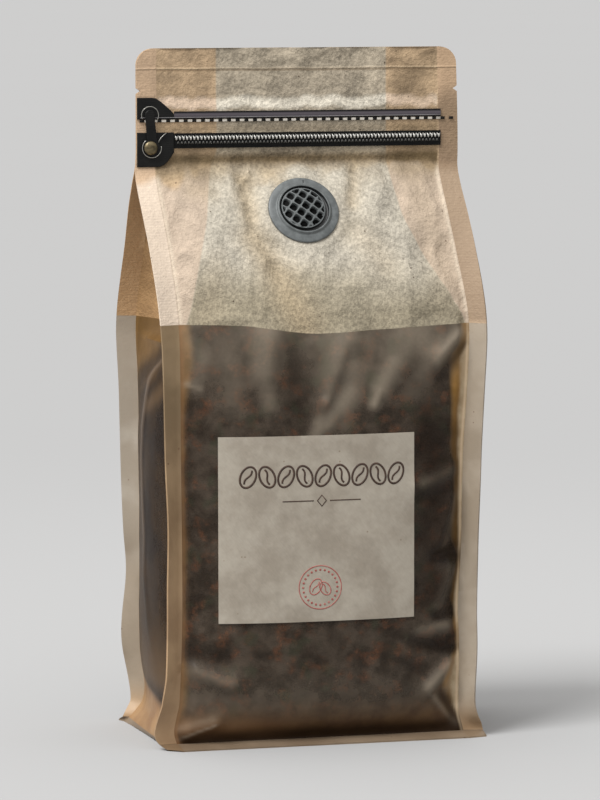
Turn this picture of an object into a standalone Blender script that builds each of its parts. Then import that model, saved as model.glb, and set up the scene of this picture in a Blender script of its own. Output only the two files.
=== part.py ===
"""Flat-bottom coffee pouch: a filled bag with four sealed corner fins and folded sides, its label,
its degassing valve and the zip across its flap.

Metres, +Z up, the front faces -Y, the origin is on the floor under the middle of the pouch.
"""
import math

import bmesh
import bpy
import numpy as np
from mathutils import Matrix, Vector

for old_object in list(bpy.data.objects):
    bpy.data.objects.remove(old_object, do_unlink=True)

MM = 0.001
GAP = 0.3 * MM                  # clearance between pieces that touch

# ---- driving dimensions ----
HEIGHT = 287 * MM               # floor to the top seal
SHOULDER = 166 * MM             # where the filled block ends and the folded sides begin
FLAP_BASE = 240 * MM            # where front and back meet, just under the zip
FLAP_HALF = 1.0 * MM            # half the thickness of the pressed flap
SEAL = 8.3 * MM                 # width of a corner fin
SEAL_THICK = 0.8 * MM
FOLD_DEPTH = 26.5 * MM          # how far the side gusset folds in, at the flap
FRONT_BELLY = 10 * MM           # how far the front swells past its seams
BACK_BELLY = 10.7 * MM
SIDE_BELLY = 6 * MM
FLANGE_REACH = 7.6 * MM         # the seal that stands out round the base, front and back
FLANGE_THICK = 0.9 * MM
FLANGE_ROOT = 2.8 * MM          # height of the flange where it joins the front
FOOT_HEIGHT = 18 * MM           # below this the side panels run out to the ends of the flanges
FOOT_SHARE = 0.8                # how far along the fin's width the side panel gets at the floor
CORNER_RADIUS = 7 * MM          # rounded top corners
PRESSED_SHARE = 0.93            # how far out the front and back fins are pressed together on the flap
NOTCH_HEIGHT = 269.5 * MM       # tear notches in both edges
NOTCH_DEPTH = 1.8 * MM
NOTCH_HALF = 1.2 * MM

FRONT_CELLS = 26
SIDE_CELLS = 10
BACK_CELLS = 14

LABEL_WIDTH = 83 * MM
LABEL_HEIGHT = 77 * MM
LABEL_MIDDLE = (-3.5 * MM, 90.9 * MM)
LABEL_THICK = 0.5 * MM

VALVE_MIDDLE = (-2.5 * MM, 220 * MM)
VALVE_OUT = 15.4 * MM           # how far in front of the middle plane the valve's face sits
VALVE_SLOPE = 0.6               # rise of the film towards the back, per unit of height
VALVE_RADIUS = 15 * MM
CAP_RADIUS = 11.2 * MM
GRID_RADIUS = 9.2 * MM
GRID_PITCH = 3.85 * MM
GRID_HOLE = 2.9 * MM
GRID_TURN = math.radians(-35)

BAND_LEFT, BAND_RIGHT = -54.1 * MM, 60.9 * MM
UPPER_BAND = (257.2 * MM, 261.0 * MM)
LOWER_BAND = (245.8 * MM, 252.0 * MM)
TEETH = (248.6 * MM, 250.8 * MM)
TOOTH_PITCH = 1.6 * MM
TOOTH_LOW, TOOTH_HIGH = 0.3 * MM, 0.8 * MM
BAND_THICK = 0.5 * MM
PULL_THICK = 0.6 * MM
PULL_HEAD = (-64.5 * MM, 259.6 * MM)  # middle of the pull's round head
PULL_FOOT = (-63.8 * MM, 246.1 * MM)  # and of its round foot under the rivet
PULL_RADII = (3.9 * MM, 3.6 * MM)     # foot, head
STRAP_X = -63.5 * MM
STRAP_HALF = 2.2 * MM
RIVET = (-64.3 * MM, 246.1 * MM)

# ---- shape of the film: (height, size) pairs in millimetres, read with a smooth curve ----
SEAM_DEPTH = ((0, 33.4), (3, 33), (150, 33), (165, 32.8), (176, 31.2), (190, 27), (205, 20.5), (220, 13),
              (230, 6.2), (236, 1.9), (239, 1.0), (287, 1.0))
SWELL = ((0, 0), (2.8, 0.02), (8, 0.38), (16, 0.72), (30, 0.94), (60, 1.05), (100, 1), (130, 0.95), (160, 0.85),
         (178, 0.66), (195, 0.42), (215, 0.16), (235, 0), (287, 0))
SIDE_SWELL = ((0, 0), (10, 0.3), (30, 0.8), (60, 1), (120, 1), (148, 0.8), (166, 0), (287, 0))
# seam distance from the middle, and how far each fin turns out of the panel's plane, in degrees
SEAMS = {
    "front_left": ((0, 60.6), (7, 62.4), (13, 61.4), (19, 60.2), (64, 58.9), (120, 59.3), (149, 59.4), (176, 59.8),
                   (205, 61.2), (232, 62.6), (246, 61.5), (287, 61.5)),
    "front_right": ((0, 62.7), (13, 60.4), (36, 60.6), (53, 60), (82, 61.3), (116, 61.8), (145, 63.6), (172, 64.7),
                    (203, 62), (231, 60), (245, 60.3), (287, 59.3)),
    "back_right": ((0, 62), (12, 60.4), (40, 60.8), (90, 61.2), (145, 62.6), (172, 63.4), (205, 61.6), (231, 60),
                   (245, 60.3), (287, 59.3)),
    "back_left": ((0, 61.6), (9, 58.4), (21, 59.9), (40, 61.6), (70, 60.8), (82, 61.0), (112, 61.3), (142, 61.8), (171, 63),
                  (206, 61.8), (232, 62.2), (246, 61.5), (287, 61.5)),
}
TURNS = {
    "front_left": ((0, 6), (3, 4), (8, 6), (20, 22), (32, 34), (64, 32), (91, 37), (120, 29), (149, 24), (176, 18),
                   (205, 12), (232, 0), (287, 0)),
    "front_right": ((0, 18), (3, 12), (9, 42), (16, 54), (36, 46), (53, 40), (82, 52), (116, 43), (145, 50), (172, 48),
                    (203, 25), (232, 0), (287, 0)),
    "back_right": ((0, 18), (3, 12), (9, 30), (20, 42), (60, 34), (110, 30), (160, 26), (203, 12), (232, 0), (287, 0)),
    "back_left": ((0, 18), (3, 20), (9, 46), (17, 48), (35, 32), (64, 54), (82, 42), (112, 25), (142, 15), (171, 15),
                  (206, 8), (232, 0), (287, 0)),
}
# folds in the front film, each a soft ridge along a line: from (across, up) to (across, up), half width and
# rise, all in millimetres; a negative rise is a valley
FOLDS = (
    (-31, 238, -28, 216, 5, 1.5), (-26, 228, -15, 193, 5, -1.9), (-16, 194, -7, 172, 6, -1.5),   # above the window
    (17, 239, 18, 231, 4, 1.0), (30, 237, 31, 226, 5, 1.5), (31, 227, 21, 211, 6, 1.3), (16, 212, 30, 198, 7, -1.3),
    (-26, 170, -24, 143, 7, 1.0), (-13, 162, -8, 137, 6, -1.6), (9, 168, 0, 143, 5, 1.8),        # over the label
    (30, 168, 22, 142, 6, 1.2), (63, 164, 51, 149, 5, -2.0),
    (46, 108, 58, 110, 4, 1.4), (50, 90, 51, 78, 4, 1.0), (52, 76, 60, 76, 4, -2.4),             # right edge
    (50, 62, 53, 58, 4, 0.9), (42, 46, 58, 48, 4, 1.5), (42, 40, 59, 36, 4, -2.2), (45, 22, 58, 27, 4, 1.2),
    (48, 17, 60, 6, 4, -1.4),
    (-57, 36, -40, 30, 4, 1.3), (-57, 41, -42, 39, 4, -1.5), (-58, 5, -42, 15, 4, 1.2),          # left edge
)


def along(height, pairs):
    """Smooth curve through (height, size) pairs in mm: cubic pieces that never overshoot their ends."""
    knots, sizes = (np.array(column, float) * MM for column in zip(*pairs))
    rates = np.diff(sizes) / np.diff(knots)
    product, total = rates[:-1] * rates[1:], rates[:-1] + rates[1:]
    inner = np.where(product > 0, 2 * product / np.where(total == 0, 1, total), 0)
    slopes = np.concatenate((rates[:1], inner, rates[-1:]))
    spot = np.clip(np.searchsorted(knots, height) - 1, 0, len(knots) - 2)
    step = knots[spot + 1] - knots[spot]
    t = np.clip((height - knots[spot]) / step, 0, 1)
    ends = (2 * t**3 - 3 * t**2 + 1) * sizes[spot] + (3 * t**2 - 2 * t**3) * sizes[spot + 1]
    return ends + step * ((t**3 - 2 * t**2 + t) * slopes[spot] + (t**3 - t**2) * slopes[spot + 1])


def smooth_step(value, low, high):
    """0 below low, 1 above high, with a smooth rise between."""
    t = np.clip((value - low) / (high - low), 0, 1)
    return t * t * (3 - 2 * t)


def flange_reach(height):
    """How far the base seal stands out: all of it at its edge, none where it joins the front."""
    return FLANGE_REACH * np.clip((FLANGE_ROOT - height) / (FLANGE_ROOT - FLANGE_THICK), 0, 1)


def bulge(across):
    """Pillow section: 1 in the middle, 0 at both seams, steep beside them."""
    return np.clip(1 - np.abs(across) ** 2.6, 0, 1) ** 0.8


def fold_rise(x, height, x0, z0, x1, z1, half, rise):
    """A ridge: Gaussian of the distance to the line from (x0, z0) to (x1, z1), ends included."""
    length = math.hypot(x1 - x0, z1 - z0)
    way_x, way_z = (x1 - x0) / length, (z1 - z0) / length
    along_line = np.clip((x - x0) * way_x + (height - z0) * way_z, 0, length)
    away = np.hypot(x - x0 - along_line * way_x, height - z0 - along_line * way_z)
    return rise * np.exp(-(away / half) ** 2)


def front_y(x, height):
    """The front film: seam depth, the swell between the seams, folds, and a flat round the valve."""
    left, right = -along(height, SEAMS["front_left"]), along(height, SEAMS["front_right"])
    across = (2 * x - left - right) / (right - left)
    y = -along(height, SEAM_DEPTH) - FRONT_BELLY * along(height, SWELL) / MM * bulge(across)
    loose = 1 - smooth_step(height, FLAP_BASE - 8 * MM, FLAP_BASE)
    for fold in FOLDS:
        y = y - loose * fold_rise(x, height, *(size * MM for size in fold))
    valve_x, valve_z = VALVE_MIDDLE
    flat = -VALVE_OUT + VALVE_SLOPE * (height - valve_z)
    away = np.hypot(x - valve_x, (height - valve_z) * math.hypot(1, VALVE_SLOPE))
    share = 1 - smooth_step(away, VALVE_RADIUS + 1 * MM, VALVE_RADIUS + 9 * MM)
    return y + (flat - y) * share - flange_reach(height)


def back_y(x, height):
    """The back film: the front's section again, a little flatter."""
    left, right = -along(height, SEAMS["back_left"]), along(height, SEAMS["back_right"])
    across = (2 * x - left - right) / (right - left)
    swell = BACK_BELLY * along(height, SWELL) / MM * bulge(across)
    return along(height, SEAM_DEPTH) + swell + flange_reach(height)


def edge_trim(height):
    """What the rounded top corners and the tear notches take off a fin's width."""
    above = np.clip((height - HEIGHT + CORNER_RADIUS) / CORNER_RADIUS, 0, 1)
    corner = CORNER_RADIUS * (1 - np.sqrt(1 - above**2))
    notch = NOTCH_DEPTH * np.clip(1 - abs(height - NOTCH_HEIGHT) / NOTCH_HALF, 0, 1)
    return corner + notch


def fin_points(name, height):
    """Four section points of a corner fin: out along its first face and back along its second."""
    face, side = (-1 if name.startswith("front") else 1), (-1 if name.endswith("left") else 1)
    turn = math.radians(along(height, TURNS[name]) / MM)
    out = np.array((side * math.cos(turn), face * math.sin(turn)))
    normal = np.array((-out[1], out[0])) * SEAL_THICK / 2
    seam = np.array((side * along(height, SEAMS[name]), face * (along(height, SEAM_DEPTH) - SEAL_THICK / 2)))
    tip = seam + out * (SEAL - edge_trim(height))
    on_panel = np.array((0, face * flange_reach(height)))
    pressed = smooth_step(height, FLAP_BASE - 8 * MM, FLAP_BASE)
    foot = FOOT_SHARE * np.clip(1 - height / FOOT_HEIGHT, 0, 1) ** 1.5
    inner = seam + (tip - seam) * (PRESSED_SHARE * pressed + foot)
    if name in ("front_left", "back_right"):
        first, last = inner, seam + on_panel
    else:
        first, last = seam + on_panel, inner
    tip = tip + on_panel * 0.45
    return [first - normal, tip - normal, tip + normal, last + normal]


def side_points(start, end, height, side):
    """A side panel from seam to seam: it swells on the filled block and folds in above the shoulder."""
    t = np.linspace(0, 1, SIDE_CELLS + 1)[1:-1]
    middle = 1 - np.abs(2 * t - 1)
    swell = SIDE_BELLY * along(height, SIDE_SWELL) / MM * (1 - (2 * t - 1) ** 2)
    rise = np.clip((height - SHOULDER) / (FLAP_BASE - SHOULDER), 0, 1)
    fold = FOLD_DEPTH * math.sqrt(rise) * (1 - smooth_step(height, FLAP_BASE - 8 * MM, FLAP_BASE))
    x = start[0] + (end[0] - start[0]) * t + side * (swell - fold * middle)
    y = start[1] + (end[1] - start[1]) * t
    return list(zip(x, y))


def panel_points(start, end, height, depth_at, cells):
    """The front or the back from seam to seam, closer together beside the seams."""
    t = np.linspace(0, 1, cells + 1)[1:-1]
    t = 0.8 * t + 0.2 * (1 - np.cos(math.pi * t)) / 2
    x = start[0] + (end[0] - start[0]) * t
    near_seam = np.clip(np.minimum(t, 1 - t) * cells / 1.2, 0, 1)
    straight = start[1] + (end[1] - start[1]) * t
    return list(zip(x, straight + (depth_at(x, height) - straight) * near_seam))


def section(height):
    """One closed section of the pouch, anticlockwise from above, starting at the front left fin."""
    front_left, front_right, back_right, back_left = (
        fin_points(name, height) for name in ("front_left", "front_right", "back_right", "back_left"))
    return (front_left + panel_points(front_left[3], front_right[0], height, front_y, FRONT_CELLS)
            + front_right + side_points(front_right[3], back_right[0], height, 1)
            + back_right + panel_points(back_right[3], back_left[0], height, back_y, BACK_CELLS)
            + back_left + side_points(back_left[3], front_left[0], height, -1))


def section_heights():
    """Heights of the sections: close at the base, the shoulder, the notches and the top corners."""
    base = np.array((0, FLANGE_THICK, FLANGE_ROOT, 5 * MM, 8.5 * MM, 13 * MM, 18.5 * MM))
    block = np.linspace(24 * MM, 150 * MM, 21)
    shoulder = np.linspace(156 * MM, 238 * MM, 17)
    flap = np.array((240.5 * MM, FLAP_BASE, 250 * MM, 260 * MM))
    notch = NOTCH_HEIGHT + NOTCH_HALF * np.array((-1, 0, 1))
    corner = HEIGHT - CORNER_RADIUS * (1 - np.sin(np.radians((0, 30, 60, 90))))
    return np.concatenate((base, block, shoulder, flap, notch, corner))


def finish(piece_mesh, name, colour, roughness, metallic=0.0):
    """Make an object from a bmesh: faces out, smooth but for sharp edges, and a material of its own."""
    bmesh.ops.recalc_face_normals(piece_mesh, faces=piece_mesh.faces)
    mesh = bpy.data.meshes.new(name)
    piece_mesh.to_mesh(mesh)
    piece_mesh.free()
    mesh.shade_smooth()
    mesh.set_sharp_from_angle(angle=math.radians(35))
    piece = bpy.data.objects.new(name, mesh)
    bpy.context.collection.objects.link(piece)
    material = bpy.data.materials.new(name)
    material.use_nodes = True
    shader = material.node_tree.nodes["Principled BSDF"]
    shader.inputs["Base Color"].default_value = (*colour, 1)
    shader.inputs["Roughness"].default_value = roughness
    shader.inputs["Metallic"].default_value = metallic
    mesh.materials.append(material)
    return piece


def skin(piece_mesh, rings):
    """Join rings of vertices with quads, and close the first and the last ring."""
    for lower, upper in zip(rings, rings[1:]):
        for i in range(len(lower)):
            j = (i + 1) % len(lower)
            piece_mesh.faces.new((lower[i], lower[j], upper[j], upper[i]))
    caps = [piece_mesh.faces.new(rings[0][::-1]), piece_mesh.faces.new(rings[-1])]
    bmesh.ops.triangulate(piece_mesh, faces=caps, ngon_method="EAR_CLIP")


def make_pouch():
    """The filled bag: sections joined from the floor to the top seal."""
    pouch = bmesh.new()
    rings = [[pouch.verts.new((x, y, height)) for x, y in section(height)] for height in section_heights()]
    skin(pouch, rings)
    return finish(pouch, "pouch", (0.42, 0.31, 0.20), 0.6)


def make_label():
    """The paper label: a thin plate that follows the swell of the front."""
    columns, rows = 18, 14
    label = bmesh.new()
    middle_x, middle_z = LABEL_MIDDLE
    across = middle_x + LABEL_WIDTH * np.linspace(-0.5, 0.5, columns + 1)
    up = middle_z + LABEL_HEIGHT * np.linspace(-0.5, 0.5, rows + 1)
    layers = []
    for out in (GAP, GAP + LABEL_THICK):
        layers.append([[label.verts.new((x, front_y(x, z) - out, z)) for x in across] for z in up])
    for layer in layers:
        for row in range(rows):
            for column in range(columns):
                label.faces.new((layer[row][column], layer[row][column + 1],
                                 layer[row + 1][column + 1], layer[row + 1][column]))
    rims = [layer[0] + [row[-1] for row in layer[1:]] + layer[-1][-2::-1] + [row[0] for row in layer[-2:0:-1]]
            for layer in layers]
    for i in range(len(rims[0])):
        j = (i + 1) % len(rims[0])
        label.faces.new((rims[0][i], rims[0][j], rims[1][j], rims[1][i]))
    return finish(label, "label", (0.45, 0.40, 0.33), 0.85)


def valve_place():
    """Matrix that stands a valve piece, modelled round +Z, on the sloping film."""
    valve_x, valve_z = VALVE_MIDDLE
    outward = Vector((0, -1, VALVE_SLOPE)).normalized()
    right = Vector((1, 0, 0))
    turn = Matrix((right, outward.cross(right), outward)).transposed().to_4x4()
    centre = Vector((valve_x, -VALVE_OUT, valve_z)) + outward * GAP
    return Matrix.Translation(centre) @ turn


def turned(profile, steps):
    """A bmesh turned round +Z from (radius, height) pairs that run from the lower pole to the upper one."""
    piece = bmesh.new()
    angles = np.linspace(0, 2 * math.pi, steps, endpoint=False)
    rings = [[piece.verts.new((radius * math.cos(angle), radius * math.sin(angle), height)) for angle in angles]
             for radius, height in profile]
    skin(piece, rings)
    return piece


def grid_cutters():
    """One bmesh of eight-sided posts: the holes of the valve's grid that fit inside its rim."""
    cutters = bmesh.new()
    half, corner = GRID_HOLE / 2, GRID_HOLE * 0.3
    outline = [(half, corner), (corner, half), (-corner, half), (-half, corner),
               (-half, -corner), (-corner, -half), (corner, -half), (half, -corner)]
    for row in range(-3, 4):
        for column in range(-3, 4):
            centre = np.array((column, row + 0.5)) * GRID_PITCH
            if np.hypot(*centre) + half * 0.9 > GRID_RADIUS:
                continue
            turn = np.array(((math.cos(GRID_TURN), -math.sin(GRID_TURN)), (math.sin(GRID_TURN), math.cos(GRID_TURN))))
            posts = [turn @ (centre + np.array(point)) for point in outline]
            rings = [[cutters.verts.new((x, y, height)) for x, y in posts] for height in (0.8 * MM, 6 * MM)]
            skin(cutters, rings)
    return cutters


def cut(piece, cutter):
    """Take the cutter out of the piece for good, and remove the cutter."""
    boolean = piece.modifiers.new("cut", "BOOLEAN")
    boolean.operation = "DIFFERENCE"
    boolean.solver = "EXACT"
    boolean.object = cutter
    evaluated = piece.evaluated_get(bpy.context.evaluated_depsgraph_get())
    result = bpy.data.meshes.new_from_object(evaluated)
    piece.modifiers.remove(boolean)
    piece.data = result
    bpy.data.objects.remove(cutter, do_unlink=True)


def make_valve():
    """The valve: a flange with a raised rim and a domed grid, over a dark disc that shows through the holes."""
    step, rim, dome = 0.9 * MM, 2.0 * MM, 2.7 * MM
    body_profile = [(VALVE_RADIUS, 0), (VALVE_RADIUS, step * 0.6), (VALVE_RADIUS - 0.5 * MM, step),
                    (CAP_RADIUS + 0.3 * MM, step), (CAP_RADIUS, rim), (CAP_RADIUS - 0.7 * MM, rim),
                    (CAP_RADIUS - 1.0 * MM, rim - 0.5 * MM), (GRID_RADIUS + 0.6 * MM, rim - 0.5 * MM),
                    (GRID_RADIUS, rim + 0.1 * MM), (GRID_RADIUS * 0.6, dome - 0.15 * MM), (GRID_RADIUS * 0.2, dome)]
    body = finish(turned(body_profile, 48), "valve_body", (0.17, 0.18, 0.18), 0.45)
    hollow = turned([(GRID_RADIUS - 0.5 * MM, -1 * MM), (GRID_RADIUS - 0.5 * MM, 1.4 * MM)], 32)
    cut(body, finish(hollow, "hollow", (0, 0, 0), 1))
    cut(body, finish(grid_cutters(), "grid", (0, 0, 0), 1))
    disc_radius = GRID_RADIUS - 0.8 * MM
    disc = finish(turned([(disc_radius, 0), (disc_radius, 1.0 * MM)], 32), "valve_disc", (0.01, 0.01, 0.01), 0.6)
    for piece in (body, disc):
        piece.matrix_world = valve_place()


def flat_plate(outline, near, far):
    """A bmesh plate on the flap: an outline in x and z, from near to far in front of the film."""
    plate = bmesh.new()
    rings = [[plate.verts.new((x, -FLAP_HALF - out, z)) for x, z in outline] for out in (near, far)]
    skin(plate, rings)
    return plate


def rectangle(left, right, low, high):
    """The four corners of an upright rectangle on the flap, anticlockwise."""
    return [(left, low), (right, low), (right, high), (left, high)]


def make_teeth():
    """The row of zip teeth: one strip along the lower band, its front cut by a V between two teeth."""
    near = 2 * GAP + BAND_THICK
    count = int((BAND_RIGHT - BAND_LEFT) / TOOTH_PITCH) - 1
    sections = []
    for tooth in range(count):
        start = BAND_LEFT + (tooth + 0.6) * TOOTH_PITCH
        sections += [(start, TOOTH_LOW), (start + 0.2 * TOOTH_PITCH, TOOTH_HIGH),
                     (start + 0.8 * TOOTH_PITCH, TOOTH_HIGH)]
    sections.append((start + TOOTH_PITCH, TOOTH_LOW))
    low, high = TEETH
    teeth = bmesh.new()
    rings = []
    for x, out in sections:
        corners = ((near, low), (near + out, low), (near + out, high), (near, high))
        rings.append([teeth.verts.new((x, -FLAP_HALF - reach, z)) for reach, z in corners])
    skin(teeth, rings)
    return finish(teeth, "zip_teeth", (0.55, 0.55, 0.53), 0.35, 0.9)


def make_pull():
    """The pull: a round foot, a strap and a round head, as one plate joined from cuts across it."""
    cuts = []
    for (centre_x, centre_z), radius, first, last in ((PULL_FOOT, PULL_RADII[0], -75, 45),
                                                      (PULL_HEAD, PULL_RADII[1], -45, 75)):
        for angle in np.radians(np.arange(first, last + 1, 15)):
            cuts.append((centre_x, centre_z + radius * math.sin(angle), radius * math.cos(angle)))
    for height in (PULL_FOOT[1] + PULL_RADII[0], PULL_HEAD[1] - PULL_RADII[1]):
        cuts.append((STRAP_X, height, STRAP_HALF))
    near = 2 * GAP + BAND_THICK
    pull = bmesh.new()
    rings = []
    for centre_x, height, half in sorted(cuts, key=lambda place: place[1]):
        corners = ((-half, near), (half, near), (half, near + PULL_THICK), (-half, near + PULL_THICK))
        rings.append([pull.verts.new((centre_x + across, -FLAP_HALF - out, height)) for across, out in corners])
    skin(pull, rings)
    return finish(pull, "zip_pull", (0.03, 0.03, 0.03), 0.4)


def make_zip():
    """Two bands across the flap, the row of teeth, the end patch, and the pull that is riveted to it."""
    for name, (low, high) in (("zip_band_upper", UPPER_BAND), ("zip_band_lower", LOWER_BAND)):
        band = flat_plate(rectangle(BAND_LEFT, BAND_RIGHT, low, high), GAP, GAP + BAND_THICK)
        finish(band, name, (0.02, 0.02, 0.022), 0.5)
    make_teeth()
    edge, reach = -69.4 * MM, BAND_LEFT - GAP
    slot = (252.4 * MM, 256.4 * MM)
    upper = [(edge, slot[1]), (reach, slot[1]), (reach, 259.6 * MM), (-58.0 * MM, 264.6 * MM),
             (-60.6 * MM, 266.2 * MM), (-63 * MM, 266.8 * MM), (edge, 266.8 * MM)]
    lower = [(edge, 238.2 * MM), (-60.4 * MM, 238.2 * MM), (-57.6 * MM, 240.4 * MM), (reach, 244.2 * MM),
             (reach, slot[0]), (edge, slot[0])]
    for name, outline in (("zip_patch_upper", upper), ("zip_patch_lower", lower)):
        patch = flat_plate(outline, GAP, GAP + BAND_THICK)
        finish(patch, name, (0.02, 0.02, 0.022), 0.55)
    make_pull()
    rivet = turned([(2.9 * MM, 0), (2.8 * MM, 0.5 * MM), (2.2 * MM, 1.0 * MM), (1.2 * MM, 1.35 * MM),
                    (0.4 * MM, 1.45 * MM)], 20)
    rivet = finish(rivet, "zip_rivet", (0.30, 0.25, 0.16), 0.35, 0.9)
    front = -FLAP_HALF - 2 * GAP - BAND_THICK - PULL_THICK - GAP
    rivet.matrix_world = Matrix.Translation((RIVET[0], front, RIVET[1])) @ Matrix.Rotation(
        math.radians(90), 4, "X")


make_pouch()
make_label()
make_valve()
make_zip()
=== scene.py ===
# %% [markdown]
# # A filled coffee pouch, dressed over its CAD model
#
# The CAD model fixes how big every piece is and where it stands. This file makes what the eye sees: film over
# coffee, paper, moulded plastic and a zip. Each step says what a piece is on a real pouch, how it could be
# made in Blender, and why one way was chosen. Lengths are written in millimetres and turned into metres once,
# when a mesh is made.

# %% The fixed frame
import math

import bpy
import numpy as np
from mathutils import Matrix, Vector


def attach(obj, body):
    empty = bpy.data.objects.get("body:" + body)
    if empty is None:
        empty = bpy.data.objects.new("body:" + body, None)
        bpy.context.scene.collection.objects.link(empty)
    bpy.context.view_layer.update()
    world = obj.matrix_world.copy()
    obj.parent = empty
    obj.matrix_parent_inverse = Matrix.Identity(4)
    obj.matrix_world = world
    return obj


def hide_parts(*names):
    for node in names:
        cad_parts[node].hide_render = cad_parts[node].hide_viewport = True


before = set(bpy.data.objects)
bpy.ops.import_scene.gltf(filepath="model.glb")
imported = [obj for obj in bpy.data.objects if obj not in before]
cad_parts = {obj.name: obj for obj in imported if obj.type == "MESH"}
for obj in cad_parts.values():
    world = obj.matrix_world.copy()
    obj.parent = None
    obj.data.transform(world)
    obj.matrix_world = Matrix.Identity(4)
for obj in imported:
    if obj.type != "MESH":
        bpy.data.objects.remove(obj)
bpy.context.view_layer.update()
MM = 0.001
print("solids:", ", ".join(sorted(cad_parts)))

# %% [markdown]
# ## Camera
# A pack is usually shown from a little above and to one side, with a long lens so that its edges stay nearly
# parallel. The camera could be tracked to an empty, but three numbers for its place and three for the point it
# looks at say the same and leave nothing else in the scene.

# %% Camera
camera_data = bpy.data.cameras.new("camera")
camera_data.lens = 200.7
camera_data.sensor_width = 36
camera = bpy.data.objects.new("camera", camera_data)
bpy.context.scene.collection.objects.link(camera)
camera.location = (-0.4826, -1.7968, 0.3377)
looks_at = Vector((0.0002, 0, 0.1395))
camera.rotation_euler = (looks_at - camera.location).to_track_quat("-Z", "Y").to_euler()
bpy.context.scene.camera = camera
bpy.context.scene.view_settings.view_transform = "Standard"
print("camera to pouch:", round((looks_at - camera.location).length, 2), "m")

# %% [markdown]
# ## Grids instead of hand-placed faces
# Every new piece here is a grid of points worked out with numpy: rows one way, columns the other, and quads
# between them. Loops over vertices would be slow and hard to read, whole arrays are neither. A few helpers are
# enough: they list the quads of a grid, close it, and put points and faces into a mesh that rides on the pouch.

# %% Quads of a grid
def lattice(rows, columns, wrap=False, wrap_rows=False):
    """Quads of a grid of points kept row after row; wrap joins its last column to its first, wrap_rows its rows."""
    across, row = np.arange(columns if wrap else columns - 1), np.arange(rows if wrap_rows else rows - 1)[:, None]
    here, above, right = row * columns, (row + 1) % rows * columns, (across + 1) % columns
    corners = (here + across, here + right, above + right, above + across)
    return np.stack([corner.ravel() for corner in corners], axis=1)


def closed_grid(grid, inside_out=False):
    """Points and faces of a grid whose columns are joined round, with a lid on its first and its last row."""
    number = np.arange(grid.shape[0] * grid.shape[1]).reshape(grid.shape[:2])
    faces = lattice(*grid.shape[:2], wrap=True).tolist() + [number[0, ::-1].tolist(), number[-1].tolist()]
    return grid.reshape(-1, 3), [face[::-1] for face in faces] if inside_out else faces


def drawn_in(section, shares):
    """Rows that carry a closed section on towards its middle, one for each share of its size."""
    return section * np.array([(share, share, 1.0) for share in shares])[:, None]


def round_angles(steps):
    """Angles once round, the last one short of the first."""
    return np.linspace(0, 2 * math.pi, steps, endpoint=False)

# %% A mesh from arrays
def add_piece(name, points, faces, finishes, slot_name=None, replaces=(), finish_of_face=None, stage=False):
    """Make a smooth mesh from points in millimetres and lists of corner numbers, and set its finishes."""
    mesh = bpy.data.meshes.new(name)
    faces = faces.tolist() if isinstance(faces, np.ndarray) else faces
    mesh.from_pydata((np.asarray(points, float).reshape(-1, 3) * MM).tolist(), [], faces)
    mesh.update()
    mesh.shade_smooth()
    for finish in finishes:
        mesh.materials.append(finish)
    if finish_of_face is not None:
        mesh.polygons.foreach_set("material_index", np.asarray(finish_of_face, np.int32))
    piece = bpy.data.objects.new(name, mesh)
    bpy.context.scene.collection.objects.link(piece)
    if stage:
        return piece
    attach(piece, "root")
    if replaces:
        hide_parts(*replaces)
    print(f"{name}: {len(points)} points, {len(faces)} faces")
    return piece


def store(piece, name, values):
    """Keep one number for each vertex under a name that a finish can read."""
    layer = piece.data.attributes.new(name, "FLOAT", "POINT")
    layer.data.foreach_set("value", np.asarray(values, np.float32).ravel())


def sharpen(piece, degrees=35):
    """Shade edges that bend more than this as hard edges."""
    piece.data.set_sharp_from_angle(angle=math.radians(degrees))

# %% [markdown]
# ## Writing a finish as sums
# A procedural finish is a graph of nodes. Built by hand it soon has fifty wires, so a small class wraps one
# output and lets Python's own + - * add the Math nodes. A second class holds the material and adds every
# other node through one method: type, settings, then the values of its sockets.

# %% One wire of a finish
class Wire:
    """One output of a node; + - * with wires or numbers add Math nodes, rise and mix add the nodes that blend."""

    def __init__(self, recipe, socket):
        self.recipe, self.socket = recipe, socket

    def reckon(self, operation, first, second=0.0):
        return self.recipe.node("ShaderNodeMath", {"operation": operation}, {0: first, 1: second})

    def __add__(self, other):
        return self.reckon("ADD", self, other)

    def __sub__(self, other):
        return self.reckon("SUBTRACT", self, other)

    def __rsub__(self, other):
        return self.reckon("SUBTRACT", other, self)

    def __mul__(self, other):
        return self.reckon("MULTIPLY", self, other)

    def __abs__(self):
        return self.reckon("ABSOLUTE", self)

    __radd__, __rmul__ = __add__, __mul__

    def larger(self, other):
        return self.reckon("MAXIMUM", self, other)

    def smaller(self, other):
        return self.reckon("MINIMUM", self, other)

    def rise(self, low, high, start=0.0, end=1.0):
        """From start to end as this number goes from low to high, smooth at both ends."""
        return self.recipe.node("ShaderNodeMapRange", {"interpolation_type": "SMOOTHSTEP", "clamp": True},
                                {"Value": self, "From Min": low, "From Max": high, "To Min": start, "To Max": end})

    def mix(self, first, second):
        """Blend two colours: first where this number is 0, second where it is 1."""
        return self.recipe.mix(self, first, second)

    def between(self, low, high, first, second):
        """Blend two colours as this number goes from low to high."""
        return self.rise(low, high).mix(first, second)

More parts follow.
